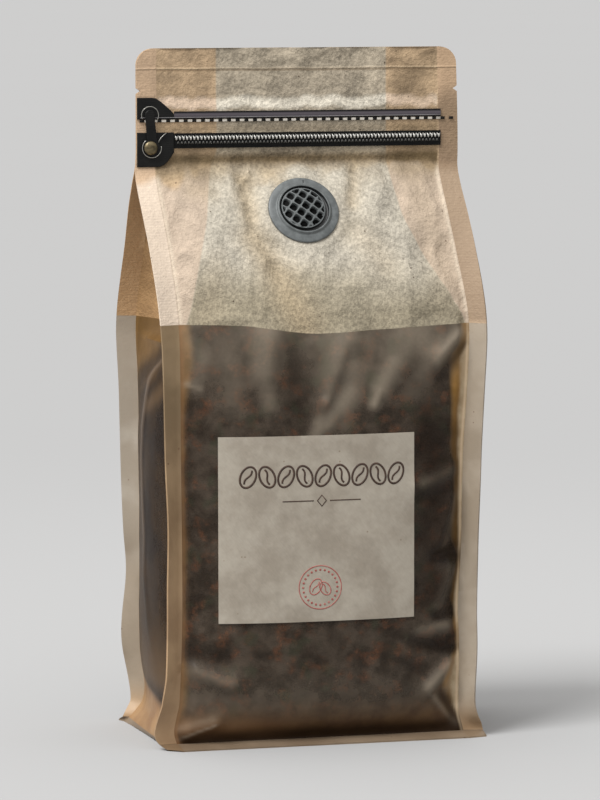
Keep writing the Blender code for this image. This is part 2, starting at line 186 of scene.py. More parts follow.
# %% The recipe of a finish
class Recipe:
    """A finish being written, for a new material or for the world. place is the object coordinate in mm."""

    def __init__(self, name, owner=None):
        self.owner = owner or bpy.data.materials.new(name)
        self.owner.use_nodes = True
        self.tree = self.owner.node_tree
        self.tree.nodes.clear()
        if owner is None:
            coordinates = self.node("ShaderNodeTexCoord", output="Object")
            self.place = self.node("ShaderNodeVectorMath", {"operation": "SCALE"}, {0: coordinates, "Scale": 1 / MM})

    def node(self, kind, settings=None, sockets=None, output=0):
        """Add a node: settings first, then sockets by name or number, and give back one output, if it has any."""
        node = self.tree.nodes.new(kind)
        for name, value in (settings or {}).items():
            setattr(node, name, value)
        for name, value in (sockets or {}).items():
            if isinstance(value, Wire):
                self.tree.links.new(value.socket, node.inputs[name])
            else:
                node.inputs[name].default_value = value
        return Wire(self, node.outputs[output]) if len(node.outputs) else None

    def stored(self, name):
        """A number kept on the mesh by store()."""
        return self.node("ShaderNodeAttribute", {"attribute_name": name}, output="Fac")

    def up(self):
        """The height above the floor in millimetres."""
        return self.node("ShaderNodeSeparateXYZ", sockets={0: self.place}, output="Z")

    def noise(self, size, detail=2.0, rough=0.5, stretch=None, turn=(0, 0, 0), shift=0.0):
        """Cloudy noise about 0.5 with blobs of this size in millimetres; stretch is a size for each axis."""
        place = self.node("ShaderNodeMapping", {"vector_type": "TEXTURE"},
                          {"Vector": self.place, "Location": (shift, shift * 0.7, -shift), "Rotation": turn,
                           "Scale": stretch or (size, size, size)})
        return self.node("ShaderNodeTexNoise", {"noise_dimensions": "3D"},
                         {"Vector": place, "Scale": 1.0, "Detail": detail, "Roughness": rough})

    def cells(self, size, output="Distance"):
        """Voronoi cells of this size in millimetres."""
        place = self.node("ShaderNodeVectorMath", {"operation": "SCALE"}, {0: self.place, "Scale": 1 / size})
        return self.node("ShaderNodeTexVoronoi", {"feature": "F1"}, {"Vector": place, "Scale": 1.0}, output=output)

    def ribs(self, pitch, unevenness):
        """Level ribs this far apart in millimetres."""
        return self.node("ShaderNodeTexWave", {"wave_type": "BANDS", "bands_direction": "Z", "wave_profile": "SIN"},
                         {"Vector": self.place, "Scale": 1 / pitch / 3.14, "Distortion": unevenness})

    def mix(self, share, first, second):
        """Blend two colours: first where share is 0, second where it is 1."""
        return self.node("ShaderNodeMix", {"data_type": "RGBA", "clamp_factor": True},
                         {0: share, 6: first, 7: second}, output=2)

    def times(self, colour, number):
        """Darken or lighten a colour by a number that changes over the surface."""
        return self.node("ShaderNodeVectorMath", {"operation": "SCALE"}, {0: colour, "Scale": number})

    def bump(self, height, depth, below=None):
        """Relief for the light: height from 0 to 1 stands for depth in millimetres."""
        sockets = {"Height": height, "Distance": depth * MM, "Strength": 1.0}
        if below is not None:
            sockets["Normal"] = below
        return self.node("ShaderNodeBump", sockets=sockets, output="Normal")

    def finished(self, **sockets):
        """Close the recipe with a Principled shader and give back the material."""
        names = {name.replace("_", " ").title().replace("Ior", "IOR"): value for name, value in sockets.items()}
        shader = self.node("ShaderNodeBsdfPrincipled", sockets=names)
        self.node("ShaderNodeOutputMaterial", sockets={"Surface": shader})
        return self.owner

# %% Colours
def tone(red, green, blue):
    """A screen colour from 0 to 255 as the linear colour that a shader wants."""
    screen = np.array((red, green, blue)) / 255
    linear = np.where(screen <= 0.04045, screen / 12.92, ((screen + 0.055) / 1.055) ** 2.4)
    return (*linear.tolist(), 1.0)


def layered(colour, *layers):
    """Lay colours over a first one: each layer is the number that brings it in, and its colour."""
    for share, over in layers:
        colour = share.mix(colour, over)
    return colour


def clouded(name, size, dark, light, **sockets):
    """A whole finish for small things: two colours blended by noise of one size."""
    recipe = Recipe(name)
    return recipe.finished(base_color=recipe.noise(size).mix(dark, light), **sockets)

# %% [markdown]
# ## Light and floor
# A soft studio picture needs a wide key light from one side and an even sky to fill it. Area lamps would light
# the near floor more than the far floor, so the key is a sun with a wide disc, which gives soft shadows and
# one brightness everywhere. The floor's grey is chosen so that it meets the sky without a line.

# %% Sky and key light
SKY_LOW, SKY_TOP, SKY_SIDE = 0.35, 2.7, 0.55     # brightness at the horizon, overhead, and extra on the left
KEY_POWER = 2.95
KEY_TURN, KEY_RISE = math.radians(60), math.radians(54)     # left of the front, above the floor
world = bpy.data.worlds.new("sky")
bpy.context.scene.world = world
sky = Recipe("sky", world)
direction = sky.node("ShaderNodeTexCoord", output="Generated")
sideways = sky.node("ShaderNodeSeparateXYZ", sockets={0: direction}, output="X")
up = sky.node("ShaderNodeSeparateXYZ", sockets={0: direction}, output="Z")
brightness = (SKY_LOW + (SKY_TOP - SKY_LOW) * up.larger(0.0)) * (1.0 - SKY_SIDE * sideways)
sky.node("ShaderNodeOutputWorld", sockets={
    "Surface": sky.node("ShaderNodeBackground", sockets={"Color": tone(209, 208, 207), "Strength": brightness})})

key_data = bpy.data.lights.new("key", "SUN")
key_data.energy = KEY_POWER
key_data.angle = math.radians(24)
key = bpy.data.objects.new("key", key_data)
bpy.context.scene.collection.objects.link(key)
towards = Vector((-math.sin(KEY_TURN) * math.cos(KEY_RISE), -math.cos(KEY_TURN) * math.cos(KEY_RISE),
                  math.sin(KEY_RISE)))
key.rotation_euler = towards.to_track_quat("Z", "Y").to_euler()
print("key light comes from", [round(v, 2) for v in towards])

# %% Floor
FLOOR_NEAR, FLOOR_FAR = 0.345, 0.312            # a paler floor near the pouch makes up for the sky that it hides
floor_recipe = Recipe("studio_floor")
floor_grain = floor_recipe.noise(900, detail=1.0)
floor_away = floor_recipe.node("ShaderNodeVectorMath", {"operation": "LENGTH"}, {0: floor_recipe.place},
                               output="Value")
floor_colour = floor_away.between(150, 1100, (FLOOR_NEAR,) * 3 + (1,), (FLOOR_FAR,) * 3 + (1,))
floor_finish = floor_recipe.finished(base_color=floor_recipe.times(floor_colour, 0.995 + floor_grain * 0.01),
                                     roughness=1.0, specular_ior_level=0.0)
floor_turn = np.radians(np.arange(0, 360, 7.5))
floor_reach = np.array((20000, 12000, 6000, 2500, 900, 300))[:, None]
floor_rings = np.stack((floor_reach * np.cos(floor_turn), floor_reach * np.sin(floor_turn),
                        np.zeros((len(floor_reach), len(floor_turn)))), axis=-1)
floor_points, floor_faces = closed_grid(floor_rings)
del floor_faces[-2]                             # the outer ring stays open, only the inner one is filled
add_piece("studio_floor", floor_points, floor_faces, [floor_finish], stage=True)

# %% [markdown]
# ## The shape of the bag
# A flat-bottom pouch is four panels welded to each other along their edges. The welds stand out as fins at the
# corners, the sides fold in above the filling, and at the top everything is pressed flat. Cloth simulation
# could fill a flat pattern, but it would not land on the CAD model. So the bag is drawn as sections: at each
# height a closed line round the bag, whose sizes come from short tables read with a smooth curve.

# %% Sizes of the bag
# millimetres, but for the shares and the slope
HEIGHT, SHOULDER, FLAP_BASE, FLAP_RUN, FLAP_HALF = 287.0, 166.0, 240.0, 8, 1.0
SEAL, SEAL_THICK, FOLD_DEPTH = 8.3, 0.8, 26.5
FRONT_BELLY, BACK_BELLY, SIDE_BELLY = 10.0, 10.7, 6.0
FLANGE_REACH, FLANGE_THICK, FLANGE_ROOT, FLANGE_SHARE = 7.6, 0.6, 2.0, 0.45
FOOT_HEIGHT, FOOT_SHARE, FOOT_RADIUS, CORNER_RADIUS, PRESSED_SHARE = 18.0, 0.8, 5.0, 7.0, 0.93
NOTCH_HEIGHT, NOTCH_DEPTH, NOTCH_HALF = 269.5, 1.8, 1.2
VALVE_X, VALVE_Z, VALVE_OUT, VALVE_SLOPE, VALVE_RADIUS = -2.5, 220.0, 15.4, 0.6, 15.0
LABEL_X, LABEL_Z, LABEL_WIDTH, LABEL_HEIGHT = -3.5, 90.9, 83.0, 77.0

# each table holds (height, size) pairs
SEAM_DEPTH = ((0, 33.4), (3, 33), (150, 33), (165, 32.8), (176, 31.2), (190, 27), (205, 20.5), (220, 13),
              (230, 6.2), (236, 1.9), (239, 1.0), (287, 1.0))
SWELL = ((0, 0), (2.8, 0.02), (8, 0.38), (16, 0.72), (30, 0.94), (60, 1.05), (100, 1), (130, 0.95),
         (160, 0.85), (178, 0.66), (195, 0.42), (215, 0.16), (235, 0), (287, 0))
SIDE_SWELL = ((0, 0), (10, 0.3), (30, 0.8), (60, 1), (120, 1), (148, 0.8), (166, 0), (287, 0))
SEAMS = {
    "front_left": ((0, 60.6), (7, 62.4), (13, 61.4), (19, 60.2), (64, 58.9), (120, 59.3), (149, 59.4),
                   (176, 59.8), (205, 61.2), (232, 62.6), (246, 61.5), (287, 61.5)),
    "front_right": ((0, 62.7), (13, 60.4), (36, 60.6), (53, 60), (82, 61.3), (116, 61.8), (145, 63.6),
                    (172, 64.7), (203, 62), (231, 60), (245, 60.3), (287, 59.3)),
    "back_right": ((0, 62), (12, 60.4), (40, 60.8), (90, 61.2), (145, 62.6), (172, 63.4), (205, 61.6),
                   (231, 60), (245, 60.3), (287, 59.3)),
    "back_left": ((0, 61.6), (9, 58.4), (21, 59.9), (40, 61.6), (70, 60.8), (82, 61.0), (112, 61.3),
                  (142, 61.8), (171, 63), (206, 61.8), (232, 62.2), (246, 61.5), (287, 61.5)),
}
# how far each fin turns out of its panel's plane, in degrees
TURNS = {
    "front_left": ((0, 6), (3, 4), (8, 6), (20, 22), (32, 34), (64, 32), (91, 37), (120, 29), (149, 24),
                   (176, 18), (205, 12), (232, 0), (287, 0)),
    "front_right": ((0, 18), (3, 12), (9, 42), (16, 54), (36, 46), (53, 40), (82, 52), (116, 43), (145, 50),
                    (172, 48), (203, 25), (232, 0), (287, 0)),
    "back_right": ((0, 18), (3, 12), (9, 30), (20, 42), (60, 34), (110, 30), (160, 26), (203, 12), (232, 0),
                   (287, 0)),
    "back_left": ((0, 18), (3, 20), (9, 46), (17, 48), (35, 32), (64, 54), (82, 42), (112, 25), (142, 15),
                  (171, 15), (206, 8), (232, 0), (287, 0)),
}

# %% Curves through the tables
def along(height, pairs):
    """Monotone cubic through (height, size) pairs: each piece is a Hermite curve whose end slopes are the
    harmonic mean of the slopes beside it, so it never swings past a pair."""
    knots, sizes = (np.array(column, float) for column in zip(*pairs))
    rates = np.diff(sizes) / np.diff(knots)
    product, total = rates[:-1] * rates[1:], rates[:-1] + rates[1:]
    inner = np.where(product > 0, 2 * product / np.where(total == 0, 1, total), 0)
    slopes = np.concatenate((rates[:1], inner, rates[-1:]))
    spot = np.clip(np.searchsorted(knots, height) - 1, 0, len(knots) - 2)
    step = knots[spot + 1] - knots[spot]
    t = np.clip((height - knots[spot]) / step, 0, 1)
    ends = (2 * t**3 - 3 * t**2 + 1) * sizes[spot] + (3 * t**2 - 2 * t**3) * sizes[spot + 1]
    return ends + step * ((t**3 - 2 * t**2 + t) * slopes[spot] + (t**3 - t**2) * slopes[spot + 1])


def smooth_step(value, low, high):
    """0 below low, 1 above high, with a smooth rise between."""
    t = np.clip((value - low) / (high - low), 0, 1)
    return t * t * (3 - 2 * t)


def gauss(value, middle, half):
    """A bell of height 1 at middle, down to 0.37 at half to each side."""
    return np.exp(-((value - middle) / half) ** 2)

# %% [markdown]
# ## Folds and crumples
# Film that has been filled shows two kinds of relief: a few long soft folds where it hangs between the welds
# and the filling, and many small sharp crumples left by handling. Both could be painted as a displacement
# texture. Here the long folds are ridges along drawn lines, because each has its own place, and the crumples
# come from noise, because only their size and sharpness matter.

# %% Long folds
# (from across, from up, to across, to up, half width, rise); a negative rise is a valley
FOLDS = (
    (-31, 238, -28, 218, 5, 1.9), (-26, 229, -16, 195, 5.5, -2.3), (-16, 195, -7, 173, 6.5, -1.6),
    (-45, 236, -47, 218, 6, 0.9), (17, 240, 18, 231, 4, 1.6), (30, 238, 31, 227, 4.5, 1.9),
    (31, 227, 21, 209, 6, 1.6), (23, 238, 19, 222, 3.5, -1.5), (-15, 236, -11, 231, 4, -1.2),
    (17, 211, 31, 198, 7, -1.4), (46, 236, 44, 214, 7, 1.2),
    (-26, 170, -24, 143, 7, 1.0), (-13, 162, -8, 137, 6, -1.6), (9, 168, 0, 143, 5, 1.8),
    (30, 168, 22, 142, 6, 1.2), (63, 164, 51, 150, 4.5, -2.0), (49, 159, 59, 169, 4, 1.2),
    (42, 107, 58, 113, 4, 1.5), (56, 103, 49, 80, 4, 1.4), (49, 76, 60, 78, 3.5, -2.4),
    (56, 72, 48, 55, 4, 1.3), (49, 51.6, 60, 52.2, 3, -1.6), (40, 46, 57, 48, 4, 1.6), (40, 41, 59, 36, 4, -2.2),
    (45, 21, 58, 34, 4, 1.7), (38, 29, 45, 29.5, 5, -1.3), (53, 19, 58, 8, 3, -1.8),
    (-59, 34, -40, 27, 4, 1.3), (-58, 39, -40, 36, 4, -1.5), (-58, 7, -45, 12, 4, 1.2),
)
# narrower creases, which only the finished film carries
CREASES = (
    (8.5, 167, 0, 143, 2.4, 0.6), (0, 143, -4.5, 131, 2.2, 0.8), (50, 161, 60, 169, 2.2, 0.8),
    (22, 146, 20, 137, 2.0, 0.5), (-24, 160, -23, 141, 3.0, 0.4), (-38, 150, -42, 128, 5, 0.4),
    (42, 107, 57, 112, 1.8, 0.5), (41, 102, 53, 103, 2.2, -0.6), (56, 103, 49, 81, 2.0, 0.7),
    (56, 72, 48, 55, 1.8, 0.7), (46, 18, 61, 3, 1.6, 0.7), (45, 21, 58, 34, 2.0, 0.7),
    (-58, 34, -40, 27, 2.2, 0.5), (-61, 3, -44, 10, 1.6, 0.7), (-58, 165, -50, 158, 3.0, 0.5),
    (-57, 150, -51, 149, 2.2, 0.7),
)


def fold_rise(x, height, fold):
    """A ridge: bell of the distance to the line from (x0, z0) to (x1, z1), ends included."""
    x0, z0, x1, z1, half, rise = fold
    length = math.hypot(x1 - x0, z1 - z0)
    way_x, way_z = (x1 - x0) / length, (z1 - z0) / length
    on_line = np.clip((x - x0) * way_x + (height - z0) * way_z, 0, length)
    away = np.hypot(x - x0 - on_line * way_x, height - z0 - on_line * way_z)
    return rise * np.exp(-(away / half) ** 2)

# %% Crumples
CLOUD_CELLS = 97                # the noise repeats after this many cells


def cloud(x, z, size, seed):
    """Smooth noise from -1 to 1: random heights on a square lattice of this size, blended by a quintic."""
    heights = np.random.default_rng(seed).uniform(-1, 1, (CLOUD_CELLS, CLOUD_CELLS))
    u, v = x / size + 40.3, z / size + 11.7
    i, j = np.floor(u).astype(int), np.floor(v).astype(int)
    s, t = u - i, v - j
    s, t = s**3 * (s * (6 * s - 15) + 10), t**3 * (t * (6 * t - 15) + 10)
    i, j, right, top = (corner % CLOUD_CELLS for corner in (i, j, i + 1, j + 1))
    low = heights[i, j] * (1 - s) + heights[right, j] * s
    high = heights[i, top] * (1 - s) + heights[right, top] * s
    return low * (1 - t) + high * t


def crumple(x, z, size, seed):
    """Crumpled paper, 0 to 1: one less the size of warped noise, so that its zero lines become ridges."""
    warp_x = x + 0.6 * size * cloud(x, z, size * 1.7, seed + 1)
    warp_z = z + 0.6 * size * cloud(x, z, size * 1.7, seed + 2)
    return (1 - np.abs(cloud(warp_x, warp_z, size, seed))) ** 1.6

# %% [markdown]
# ## Panels and fins
# The front and back are pillows between their seams. The sides swell beside the filling and fold to a V above
# it. Each fin is two thin layers welded together, so in section it is a narrow slab that leaves the seam at an
# angle. Near the floor the side panels run out over the fins, and on the flap front and back fins meet.

# %% Front and back panels
def flange_reach(height):
    """How far the base weld stands out: all of it at its edge, none where it joins the front."""
    return FLANGE_REACH * np.clip((FLANGE_ROOT - height) / (FLANGE_ROOT - FLANGE_THICK), 0, 1)


def pressed_flat(height):
    """0 on the filled bag, 1 on the flap."""
    return smooth_step(height, FLAP_BASE - FLAP_RUN, FLAP_BASE)


def valve_reach(x, height):
    """Distance from the middle of the valve along the sloping film."""
    return np.hypot(x - VALVE_X, (height - VALVE_Z) * math.hypot(1, VALVE_SLOPE))


def pillow(x, height, face):
    """Section of a panel, 1 in the middle and 0 at both seams: one less the 2.6th power of the way across."""
    left, right = -along(height, SEAMS[face + "_left"]), along(height, SEAMS[face + "_right"])
    across = (2 * x - left - right) / (right - left)
    return np.clip(1 - np.abs(across) ** 2.6, 0, 1) ** 0.8


def welt(height):
    """How much thinner the flap is off its zip: 0 on the zip, 1 on the thin film above, a groove below."""
    return smooth_step(height, 262.0, 266.0) + 0.95 * gauss(height, 240.6, 2.3)


def front_y(x, height, fine=True):
    """The front film: seam depth, the pillow, its folds, and a flat round the valve."""
    y = -along(height, SEAM_DEPTH) - FRONT_BELLY * along(height, SWELL) * pillow(x, height, "front")
    loose = 1 - pressed_flat(height)
    for fold in FOLDS + (CREASES if fine else ()):
        y = y - loose * fold_rise(x, height, fold)
    flat = -VALVE_OUT + VALVE_SLOPE * (height - VALVE_Z)
    share = 1 - smooth_step(valve_reach(x, height), VALVE_RADIUS + 1, VALVE_RADIUS + 9)
    return y + (flat - y) * share - flange_reach(height)


def back_y(x, height):
    """The back film: the front's section again, a little fuller and without its long folds."""
    swell = BACK_BELLY * along(height, SWELL) * pillow(x, height, "back")
    return along(height, SEAM_DEPTH) + swell + flange_reach(height)

# %% Fins
def edge_trim(height):
    """What the rounded top corners and the tear notches take off a fin's width."""
    above = np.clip((height - HEIGHT + CORNER_RADIUS) / CORNER_RADIUS, 0, 1)
    notch = NOTCH_DEPTH * np.clip(1 - abs(height - NOTCH_HEIGHT) / NOTCH_HALF, 0, 1)
    return CORNER_RADIUS * (1 - np.sqrt(1 - above**2)) + notch


def foot_trim(height):
    """The rounded lower corner of the front fins: a quarter circle that starts on the floor."""
    return FOOT_RADIUS * (1 - np.sqrt(np.clip(1 - (1 - np.clip(height / FOOT_RADIUS, 0, 1)) ** 2, 0, 1)))


def fin(name, height, columns=4):
    """A fin in section: from its root out along its first face and back along its second."""
    face, side = (-1 if name.startswith("front") else 1), (-1 if name.endswith("left") else 1)
    turn = np.radians(along(height, TURNS[name]))
    out = np.stack((side * np.cos(turn), face * np.sin(turn)), axis=-1)
    normal = np.stack((-out[:, 1], out[:, 0]), axis=-1) * SEAL_THICK / 2
    seam = np.stack((side * along(height, SEAMS[name]), face * (along(height, SEAM_DEPTH) - SEAL_THICK / 2)), axis=-1)
    trim = edge_trim(height) + (foot_trim(height) if name == "front_left" else 0)
    tip = seam + out * (SEAL - trim)[:, None]
    on_panel = np.stack((np.zeros_like(height), face * flange_reach(height)), axis=-1)
    foot = FOOT_SHARE * np.clip(1 - height / FOOT_HEIGHT, 0, 1) ** 1.5
    inner = seam + (tip - seam) * (PRESSED_SHARE * pressed_flat(height) + foot)[:, None]
    first, last = (inner, seam + on_panel) if name in ("front_left", "back_right") else (seam + on_panel, inner)
    tip = tip + on_panel * FLANGE_SHARE
    share = np.linspace(0, 1, columns)[None, :, None]
    outward = (first - normal)[:, None] + (tip - first)[:, None] * share
    return np.concatenate((outward, ((tip + normal)[:, None] + (last - tip)[:, None] * share)), axis=1)

# %% Panels between two fins
def side_panel(start, end, height, side, columns=41):
    """A side panel from seam to seam: a parabola beside the filling, a V above the shoulder."""
    t = np.linspace(0, 1, columns)[1:-1][None]
    swell = SIDE_BELLY * along(height, SIDE_SWELL)[:, None] * (1 - (2 * t - 1) ** 2)
    rise = np.clip((height - SHOULDER) / (FLAP_BASE - SHOULDER), 0, 1)
    fold = (FOLD_DEPTH * np.sqrt(rise) * (1 - pressed_flat(height)))[:, None]
    middle = 1 - np.abs(2 * t - 1)
    return np.stack((start[:, :1] + (end - start)[:, :1] * t + side * (swell - fold * middle),
                     start[:, 1:] + (end - start)[:, 1:] * t), axis=-1)


def wide_panel(start, end, height, depth_at, columns):
    """The front or the back from seam to seam, with its columns closer together beside the seams."""
    t = np.linspace(0, 1, columns)[1:-1][None]
    t = 0.8 * t + 0.2 * (1 - np.cos(math.pi * t)) / 2
    x = start[:, :1] + (end - start)[:, :1] * t
    near_seam = np.clip(np.minimum(t, 1 - t) * 26 / 1.2, 0, 1)
    straight = start[:, 1:] + (end - start)[:, 1:] * t
    return np.stack((x, straight + (depth_at(x, height[:, None]) - straight) * near_seam), axis=-1)

# %% Sections of the whole bag
FRONT_COLUMNS, BACK_COLUMNS = 116, 72
PARTS = ("front_left", "front", "front_right", "right", "back_right", "back", "back_left", "left")


def sections(height):
    """Closed sections anticlockwise from above, as (rows, columns, xyz), and the part each column is on."""
    fins = {name: fin(name, height) for name in PARTS[::2]}
    lines = [fins["front_left"], wide_panel(fins["front_left"][:, -1], fins["front_right"][:, 0], height, front_y,
                                            FRONT_COLUMNS),
             fins["front_right"], side_panel(fins["front_right"][:, -1], fins["back_right"][:, 0], height, 1),
             fins["back_right"], wide_panel(fins["back_right"][:, -1], fins["back_left"][:, 0], height, back_y,
                                            BACK_COLUMNS),
             fins["back_left"], side_panel(fins["back_left"][:, -1], fins["front_left"][:, 0], height, -1)]
    part = np.concatenate([np.full(line.shape[1], number) for number, line in enumerate(lines)])
    flat = np.concatenate(lines, axis=1)
    upright = np.broadcast_to(height[:, None, None], (*flat.shape[:2], 1))
    return np.concatenate((flat, upright), axis=2), part


levels = np.unique(np.round(np.concatenate((
    np.linspace(0, 287, 240), (0.2, FLANGE_THICK, 1.0, 1.5, FLANGE_ROOT, 2.8, 3.6, 5, 6),
    NOTCH_HEIGHT + NOTCH_HALF * np.array((-1, 0, 1)),
    HEIGHT - CORNER_RADIUS * (1 - np.sin(np.radians(np.arange(0, 91, 10)))))), 2))
bag, part_of_column = sections(levels)
print("film grid:", bag.shape[:2], "reaches", np.round(bag.min((0, 1)), 1), np.round(bag.max((0, 1)), 1))

# %% [markdown]
# ## Where the film meets the coffee
# Through a frosted window the filling is sharp and dark where it presses on the film, and hazy where the film
# stands off it: along the seams, at the base and on the crests of folds. That gap is worth a number of its
# own. It moves the coffee away from the film, and the film's finish reads the same number for its haze.

# %% Normals of a grid
def normals(grid):
    """Outward normals of a closed grid: the cross product of its slopes round and up."""
    around = np.roll(grid, -1, axis=1) - np.roll(grid, 1, axis=1)
    up = np.gradient(grid, axis=0)
    normal = np.cross(around, up)
    return normal / np.maximum(np.linalg.norm(normal, axis=2, keepdims=True), 1e-9)

# %% Where each point of the bag lies
x, y, z = bag[..., 0], bag[..., 1], bag[..., 2]
part = np.broadcast_to(part_of_column, x.shape)
on_part = {name: part == number for number, name in enumerate(PARTS)}
is_front, is_back, is_side = on_part["front"], on_part["back"], on_part["right"] | on_part["left"]
is_fin, is_wide = part % 2 == 0, is_front | is_back


def from_seam(name):
    """How far each point lies from a seam, across the panel."""
    side = -1 if name.endswith("left") else 1
    return np.clip(along(z, SEAMS[name]) - side * x, 0, 200)


from_left, from_right = from_seam("front_left"), from_seam("front_right")
from_edge = np.minimum(from_seam("back_left"), from_seam("back_right"))
side_way = y / np.maximum(along(z, SEAM_DEPTH), 1)          # -1 at the front seam, 1 at the back seam
wander = 0.7 * cloud(z, z * 0, 9, 5) + 0.4 * cloud(z, z * 0, 4, 6)

# %% Film without coffee behind it
# (height, width) of the brown edge that the coffee thins out over, and of the pale edge next to the seam
THIN_RIGHT = ((0, 3), (14, 5), (24, 8), (33, 5), (38, 2), (48, 3), (53, 2.2), (60, 4.5), (68, 3.6), (77, 1.6),
              (84, 5), (92, 6), (102, 5), (112, 4.6), (125, 7), (140, 8), (150, 8.6), (160, 8.4), (166, 5), (185, 4))
PALE_RIGHT = ((0, 0.3), (8, 0.8), (14, 2.4), (24, 4.2), (33, 2.2), (38, 0.7), (48, 1.2), (60, 1.9), (77, 0.5),
              (86, 1.6), (100, 2.0), (112, 2.0), (125, 3.0), (140, 3.8), (158, 3.8), (166, 1.0), (185, 1))
THIN_LEFT = ((0, 2.4), (20, 3.2), (30, 3.6), (36, 2.6), (41, 1.8), (80, 2.4), (118, 1.8), (122, 2.4), (136, 2.6),
             (142, 3.2), (150, 4.4), (158, 5.5), (168, 6), (185, 5))


def beside_seam(distance, width, inner, outer):
    """1 next to a seam and 0 past a width from it, with a soft edge from inner before to outer after it."""
    return 1 - smooth_step(distance, width - inner, width + outer)


thin = is_front * beside_seam(from_right + wander, along(z, THIN_RIGHT), 1.8, 1.2)
thin = np.maximum(thin, is_front * 0.50 * beside_seam(from_left + wander, along(z, THIN_LEFT), 3.0, 0.8))
thin = np.maximum(thin, is_back * beside_seam(from_edge + wander, 3.3, 1.3, 1.3))
pale = is_front * beside_seam(from_right + 0.25 * wander, along(z, PALE_RIGHT), 1.0, 1.2)
pale = np.maximum(pale, is_back * beside_seam(from_edge, 1.3, 0.5, 0.5))
golden = is_wide * (1 - smooth_step(z + 1.5 * cloud(x, x * 0, 15, 8), 8, 22))
# the lowest band of the window is painted dark: painted shade where the film turns under towards the base
low_band_shade = is_wide * (1 - smooth_step(z + 0.8 * cloud(x, x * 0, 11, 7), 4.0, 10.0))

# %% Haze with painted sheen, and shaded pockets
# film that stands off in a fold is hazy and also carries a painted sheen; where the film lies on the coffee in
# pockets and fold valleys the coffee shows dark, with painted shade added
HAZE_AND_SHEEN = (
    (-24.7, 172, -26.6, 157, 6, 0.36), (-26.6, 157, -23.6, 142, 4, 0.28), (10, 168, 12, 157, 4.6, 0.36),
    (12, 157, 10.6, 148.5, 5.4, 0.62), (10.6, 148.5, 5.4, 141, 4.9, 0.68), (5.4, 141, -1.6, 134, 4.0, 0.68),
    (-1.6, 134, -6.2, 126, 3.0, 0.66), (8, 166, 3, 141, 9.5, 0.30), (37, 170, 30, 159, 5.8, 0.42),
    (30, 159, 23, 148, 4.8, 0.56), (23, 148, 20.4, 142, 2.6, 0.64), (40, 169, 51, 161, 7, 0.36),
    (49, 159, 59, 169, 3.4, 0.62), (45, 158, 40, 146, 6, 0.25), (-50, 163, -54, 150, 3, 0.22),
    (-40, 160, -38, 142, 6, 0.16), (43, 107, 56, 112, 2.6, 0.32), (57.5, 101, 52.5, 82, 2.2, 0.40),
    (56.5, 71, 50, 56, 2.4, 0.40), (41, 45.5, 53, 47.5, 3.0, 0.36), (46, 22, 56, 32, 3.0, 0.44),
    (48, 18, 59, 5, 1.4, 0.34), (54.5, 20, 57, 30, 1.8, 0.36), (-55, 32, -40, 27.5, 2.8, 0.24),
    (-60, 8.4, -47, 12, 1.8, 0.30), (-62, 3.2, -46, 9.6, 0.7, 0.8), (-57, 151, -52, 149, 1.4, 0.4),
)
POCKET_SHADES = (
    (62, 164, 50, 151, 3.0, 0.9), (41, 102, 52, 103, 3, 0.6), (44.5, 86.8, 45, 86, 5, 0.6),
    (49, 76, 58, 78, 2.8, 1.0),
    (49, 51.6, 57, 52.2, 2.4, 0.9), (40, 41.5, 58, 36.5, 3.2, 1.0), (38, 29.2, 44, 29.5, 3.6, 0.6),
    (53, 18, 57.5, 9, 2.2, 0.9), (-13, 161, -8, 133, 6, 0.55), (-57, 39, -42, 36.5, 3, 0.6),
    (43, 146, 43, 120, 5.5, 0.5), (15, 160, 13, 152, 3.5, 0.35), (-55, 140, -53, 60, 4, 0.3),
)
BACK_HAZE_AND_SHEEN = (
    (-21, 172, -12, 140, 4.5, 0.34), (-12, 140, -9, 122, 3.5, 0.24), (15, 171, 21, 148, 4.5, 0.30),
    (38, 169, 30, 150, 4, 0.28), (-52, 104, -44, 110, 3, 0.26), (53, 72, 44, 60, 3, 0.26),
    (-50, 46, -40, 49, 3.5, 0.26), (46, 24, 55, 34, 3, 0.3), (-46, 20, -56, 30, 3, 0.3), (2, 60, 8, 40, 9, 0.12),
)


def strokes(across, up_, marks):
    """The strongest of soft strokes (x0, z0, x1, z1, half width, strength), 0 where there is none."""
    return np.max([fold_rise(across, up_, mark) for mark in marks], axis=0)


haze_and_sheen = is_front * strokes(x, z, HAZE_AND_SHEEN)
haze_and_sheen = haze_and_sheen + is_front * (0.17 * smooth_step(z, 144, 168) + 0.12 * gauss(z, 18, 10)) * (1 - 0.5 * haze_and_sheen)
back_haze_and_sheen = (0.15 * smooth_step(z, 144, 168) + 0.10 * smooth_step(cloud(x, z, 26, 9), -0.6, 1)
             + strokes(x, z, BACK_HAZE_AND_SHEEN))
haze_and_sheen = np.where(is_back, back_haze_and_sheen, haze_and_sheen)
# darker to the right of the label: painted shade
right_of_label = smooth_step(x, 32, 47) * smooth_step(z, 44, 60) * (1 - smooth_step(z, 120, 150))
pocket_shade = is_front * np.clip(strokes(x, z, POCKET_SHADES) + 0.85 * right_of_label, 0, 1)

